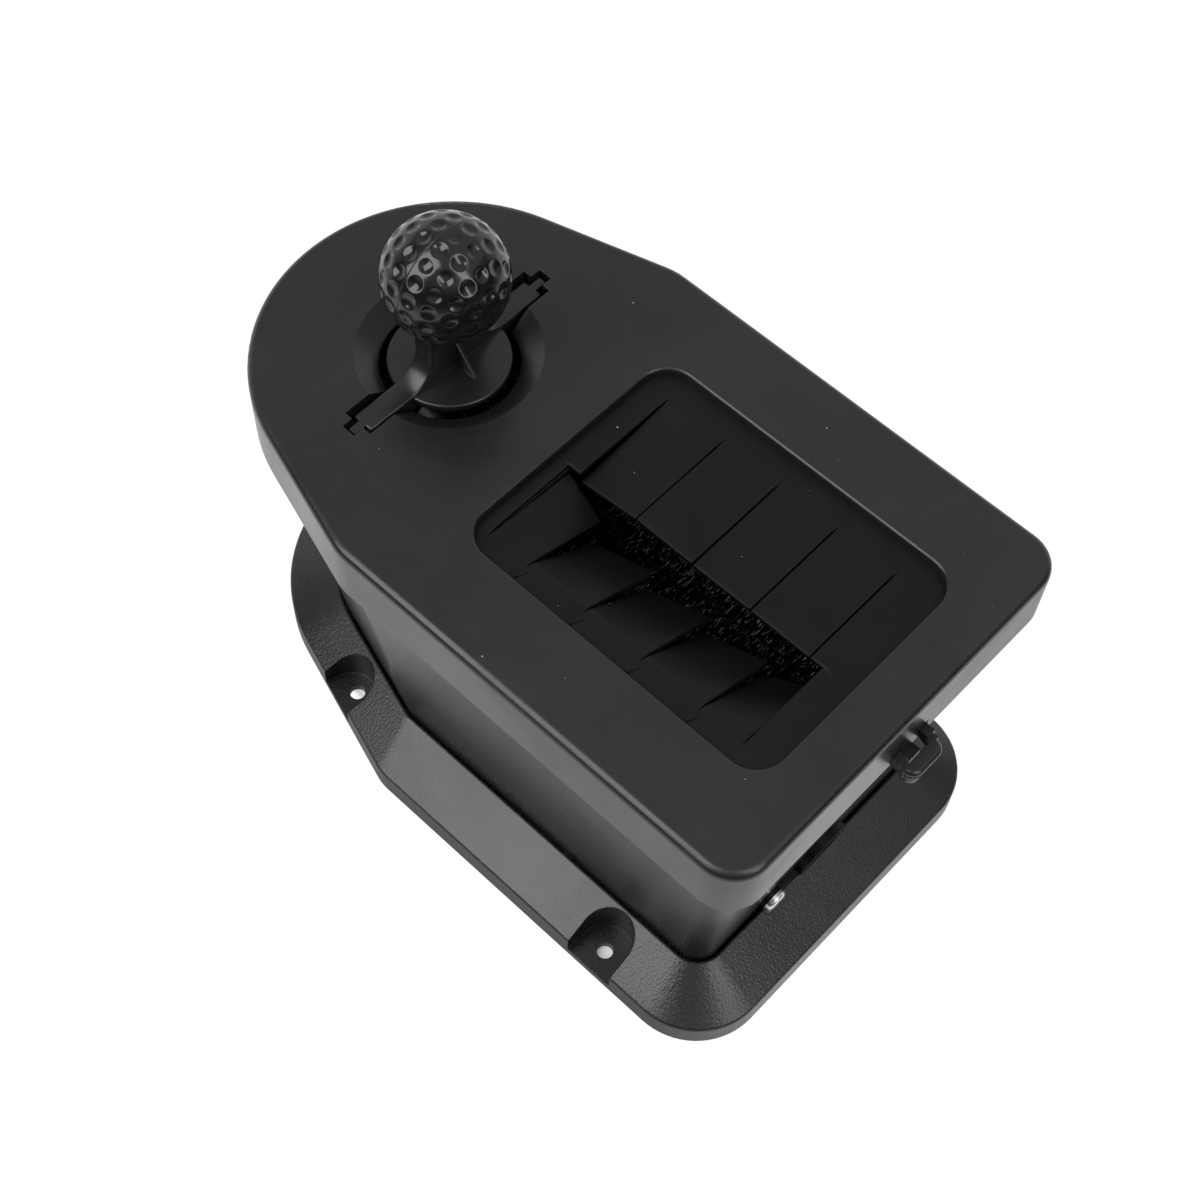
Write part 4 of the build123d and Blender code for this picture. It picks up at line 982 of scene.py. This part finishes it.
class WASHER_OT_brushes(bpy.types.Operator):
    """Bristle tufts of the club brushes and of the ball brushes"""

    bl_idname = "washer.brushes"
    bl_label = "Brushes"

    def execute(self, context):
        values = context.scene.washer_brushes
        chance = random.Random(7)
        jitter = PLACE_JITTER
        for side, label in ((1, "right"), (-1, "left")):
            low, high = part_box(f"club_bristles_{label}")
            span = high.x - low.x
            tufts = [make_tuft(f"tuft_{k}", values, span * 1.06, chance) for k in range(5)]
            root = high.x if side > 0 else low.x
            inset = values.tuft * 0.6
            places = [
                Vector((root, y + chance.uniform(-jitter, jitter), z + chance.uniform(-jitter, jitter)))
                for y in even(low.y + inset, high.y - inset, values.columns)
                for z in even(low.z + inset, high.z - inset, values.rows)
            ]
            turn = Matrix.Identity(4) if side > 0 else Matrix.Rotation(math.pi, 4, "Z")
            brush = plant(f"club_brush_{label}", tufts, places, chance, turn)
            for tuft in tufts:
                bpy.data.objects.remove(tuft)
            finish_piece(brush, "lid", "bristle", f"club_bristles_{label}")
        for side, label in ((-1, "front"), (1, "back")):
            low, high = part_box(f"ball_bristles_{label}")
            span = high.y - low.y
            tufts = [make_tuft(f"tuft_{k}", values, span, chance) for k in range(4)]
            root = low.y if side < 0 else high.y
            inset = values.tuft * 0.7
            places = [
                Vector((x, root, z))
                for x in even(low.x + inset, high.x - inset, BALL_COLUMNS)
                for z in even(low.z + inset, high.z - inset, BALL_ROWS)
            ]
            turn = Matrix.Rotation(-side * math.pi / 2, 4, "Z").inverted()
            brush = plant(f"ball_brush_{label}", tufts, places, chance, turn)
            for tuft in tufts:
                bpy.data.objects.remove(tuft)
            finish_piece(brush, "lid", "bristle", f"ball_bristles_{label}")
        return {"FINISHED"}


# ---------------------------------------------------------------- studio
FAR_SIDE = (0.7, 0.7, 0.0)
SHADED_SIDE = (0.87, -0.5, 0.0)
FLOOR_GLOW = 1.12
FLOOR_PAINT = (0.82, 0.82, 0.82, 1)
HALF_WIDTH = 0.076
HALF_DEPTH = 0.1
BACK_TAPER = 0.22
TARGET = Vector((0, 0, 0.12))
BOX_DISTANCE = 1.4


def towards_far_side(n, vector):
    return n.add("ShaderNodeVectorMath", {0: vector, 1: FAR_SIDE}, operation="DOT_PRODUCT").outputs["Value"]


def footprint_distance(n, place):
    """Rough distance outside the base's footprint, which narrows to the back; negative under the base."""
    spot = n.add("ShaderNodeSeparateXYZ", {"Vector": place}).outputs
    behind = n.math("MAXIMUM", spot["Y"], 0.0)
    wide = n.math("MULTIPLY_ADD", behind, BACK_TAPER, n.math("ABSOLUTE", spot["X"]))
    deep = n.math("SUBTRACT", n.math("ABSOLUTE", spot["Y"]), HALF_DEPTH)
    return n.math("MAXIMUM", n.math("SUBTRACT", wide, HALF_WIDTH), deep)


def floor_material(values):
    """White floor: plain white to the camera and in reflections, with painted shade under the base and, in
    reflections, round its foot; it keeps the washer's soft shadow.
    """
    material = bpy.data.materials.new("Studio floor")
    material.use_nodes = True
    tree = material.node_tree
    n = Nodes(tree)
    tree.nodes.remove(tree.nodes["Principled BSDF"])
    paths = n.add("ShaderNodeLightPath").outputs
    direct = n.math("MAXIMUM", paths["Is Camera Ray"], paths["Is Transmission Ray"])
    place = n.add("ShaderNodeTexCoord").outputs["Object"]
    away = n.add("ShaderNodeVectorMath", {0: place}, operation="LENGTH").outputs["Value"]
    near = n.span(away, values.near_floor, 2 * values.near_floor, 1.0, 0.1)
    far_side = towards_far_side(n, place)
    near = n.math("MAXIMUM", near, n.span(far_side, 0.1, 0.5))
    outside = footprint_distance(n, place)
    # Painted shade: in reflections the floor is darker close round the base.
    near = n.math("MULTIPLY", near, n.span(outside, 0.0, values.foot_shade, 0.25, 1.0))
    mirrored = n.math("MULTIPLY", paths["Is Glossy Ray"], near)
    strength = n.math("MULTIPLY", n.math("MAXIMUM", direct, mirrored), FLOOR_GLOW)
    paint = n.add("ShaderNodeBsdfDiffuse", {"Color": FLOOR_PAINT}).outputs["BSDF"]
    white = n.add("ShaderNodeEmission", {"Color": (1, 1, 1, 1), "Strength": strength}).outputs["Emission"]
    # Painted shade: under the base the floor glows less, so it looks darker through the base's holes; the
    # real shadow there deepens it.
    under = n.span(outside, -0.002, 0.0, 0.2, 0.85)
    share = n.math("MULTIPLY", n.math("MAXIMUM", direct, paths["Is Glossy Ray"]), under)
    mixed = n.add("ShaderNodeMixShader", {0: share, 1: paint, 2: white}).outputs["Shader"]
    tree.links.new(mixed, tree.nodes["Material Output"].inputs["Surface"])
    return material


def studio_world(values):
    """White all round to the camera; in reflections dim overhead, and dark low down but for the far side."""
    world = bpy.data.worlds.new("Studio")
    bpy.context.scene.world = world
    world.use_nodes = True
    tree = world.node_tree
    n = Nodes(tree)
    tree.nodes.clear()
    paths = n.add("ShaderNodeLightPath").outputs
    direction = n.add("ShaderNodeTexCoord").outputs["Generated"]
    height = n.add("ShaderNodeSeparateXYZ", {"Vector": direction}).outputs["Z"]
    across = n.add("ShaderNodeVectorMath", {0: direction, 1: SHADED_SIDE}, operation="DOT_PRODUCT")
    sides = n.span(across.outputs["Value"], -0.6, 0.25, values.shaded_side, 1.0)
    above = n.math("MULTIPLY", n.span(height, 0.3, 0.6, 0.04, values.ceiling), sides)
    far_side = towards_far_side(n, direction)
    low_down = n.math("MULTIPLY", n.span(far_side, 0.1, 0.6), n.span(height, 0.65, 0.35))
    above = n.math("MAXIMUM", above, n.math("MULTIPLY", low_down, values.horizon))
    direct = n.math("MAXIMUM", paths["Is Camera Ray"], paths["Is Transmission Ray"])
    mirrored = n.math("MULTIPLY", paths["Is Glossy Ray"], above)
    plain = n.math("SUBTRACT", 1.0, n.math("MAXIMUM", direct, paths["Is Glossy Ray"]))
    strength = n.math("MULTIPLY_ADD", plain, values.fill, n.math("MAXIMUM", direct, mirrored))
    sky = n.add("ShaderNodeBackground", {"Color": (1, 1, 1, 1), "Strength": strength}).outputs["Background"]
    out = n.add("ShaderNodeOutputWorld")
    tree.links.new(sky, out.inputs["Surface"])


def soft_box(name, towards, width, height, radiance):
    """Rectangular lamp that faces the washer from one direction; radiance is what a mirror would show."""
    lamp = bpy.data.lights.new(name, "AREA")
    lamp.shape = "RECTANGLE"
    lamp.size = width
    lamp.size_y = height
    lamp.energy = radiance * math.pi * width * height
    towards = Vector(towards).normalized()
    box = bpy.data.objects.new(name, lamp)
    bpy.context.scene.collection.objects.link(box)
    box.location = TARGET + towards * BOX_DISTANCE
    box.rotation_euler = towards.to_track_quat("Z", "Y").to_euler()
    box.visible_camera = False


class WASHER_OT_studio(bpy.types.Operator):
    """Pale floor, soft light and the camera"""

    bl_idname = "washer.studio"
    bl_label = "Studio"

    def execute(self, context):
        values = context.scene.washer_studio
        start_piece()
        bpy.ops.mesh.primitive_plane_add(size=values.floor_size, location=(0, 0, 0))
        floor = new_piece("studio_floor")
        floor.data.materials.append(floor_material(values))
        studio_world(values)
        turn, height, roll = values.camera_turn, values.camera_height, values.camera_roll
        level = math.cos(height)
        back = Vector((math.sin(turn) * level, -math.cos(turn) * level, math.sin(height)))
        right = Vector((math.cos(turn), math.sin(turn), 0))
        up = back.cross(right)
        right, up = (
            right * math.cos(roll) + up * math.sin(roll),
            up * math.cos(roll) - right * math.sin(roll),
        )
        soft_box("front_soft_box", (0.03, -0.72, 0.69), 0.34, 1.5, values.front_light)
        soft_box("left_soft_box", (-0.58, 0.29, 0.76), 0.85, 1.45, values.left_light)
        camera = bpy.data.cameras.new("camera")
        camera.lens = values.lens
        camera.sensor_width = 36.0
        camera.clip_start = 0.01
        eye = bpy.data.objects.new("camera", camera)
        context.scene.collection.objects.link(eye)
        aim = Matrix((right, up, back)).transposed().to_4x4()
        eye.matrix_world = Matrix.Translation(values.camera_place) @ aim
        context.scene.camera = eye
        context.scene.view_settings.view_transform = "Standard"
        return {"FINISHED"}


class WASHER_PT_sidebar(bpy.types.Panel):
    """Lists the washer's pieces and their values"""

    bl_idname = "WASHER_PT_sidebar"
    bl_label = "Club and ball washer"
    bl_space_type = "VIEW_3D"
    bl_region_type = "UI"
    bl_category = "Washer"

    def draw(self, context):
        for operator, group in PARTS:
            box = self.layout.box()
            box.operator(operator.bl_idname)
            values = getattr(context.scene, group)
            for key in values.bl_rna.properties.keys():
                if key not in ("rna_type", "name"):
                    box.prop(values, key)


GROUPS = {
    "washer_finishes": WasherFinishes,
    "washer_knob": WasherKnob,
    "washer_paddle": WasherPaddle,
    "washer_flaps": WasherFlaps,
    "washer_brushes": WasherBrushes,
    "washer_studio": WasherStudio,
}
PARTS = (
    (WASHER_OT_finishes, "washer_finishes"),
    (WASHER_OT_knob, "washer_knob"),
    (WASHER_OT_paddle, "washer_paddle"),
    (WASHER_OT_flaps, "washer_flaps"),
    (WASHER_OT_brushes, "washer_brushes"),
    (WASHER_OT_studio, "washer_studio"),
)
CLASSES = tuple(GROUPS.values()) + tuple(operator for operator, _ in PARTS) + (WASHER_PT_sidebar,)


def register():
    for each in CLASSES:
        bpy.utils.register_class(each)
    for name, group in GROUPS.items():
        setattr(bpy.types.Scene, name, bpy.props.PointerProperty(type=group))


def unregister():
    for name in GROUPS:
        delattr(bpy.types.Scene, name)
    for each in reversed(CLASSES):
        bpy.utils.unregister_class(each)


def main():
    register()
    bpy.ops.washer.finishes()
    bpy.ops.washer.knob()
    bpy.ops.washer.paddle()
    bpy.ops.washer.flaps()
    bpy.ops.washer.brushes()
    bpy.ops.washer.studio()


if __name__ == "__main__":
    main()
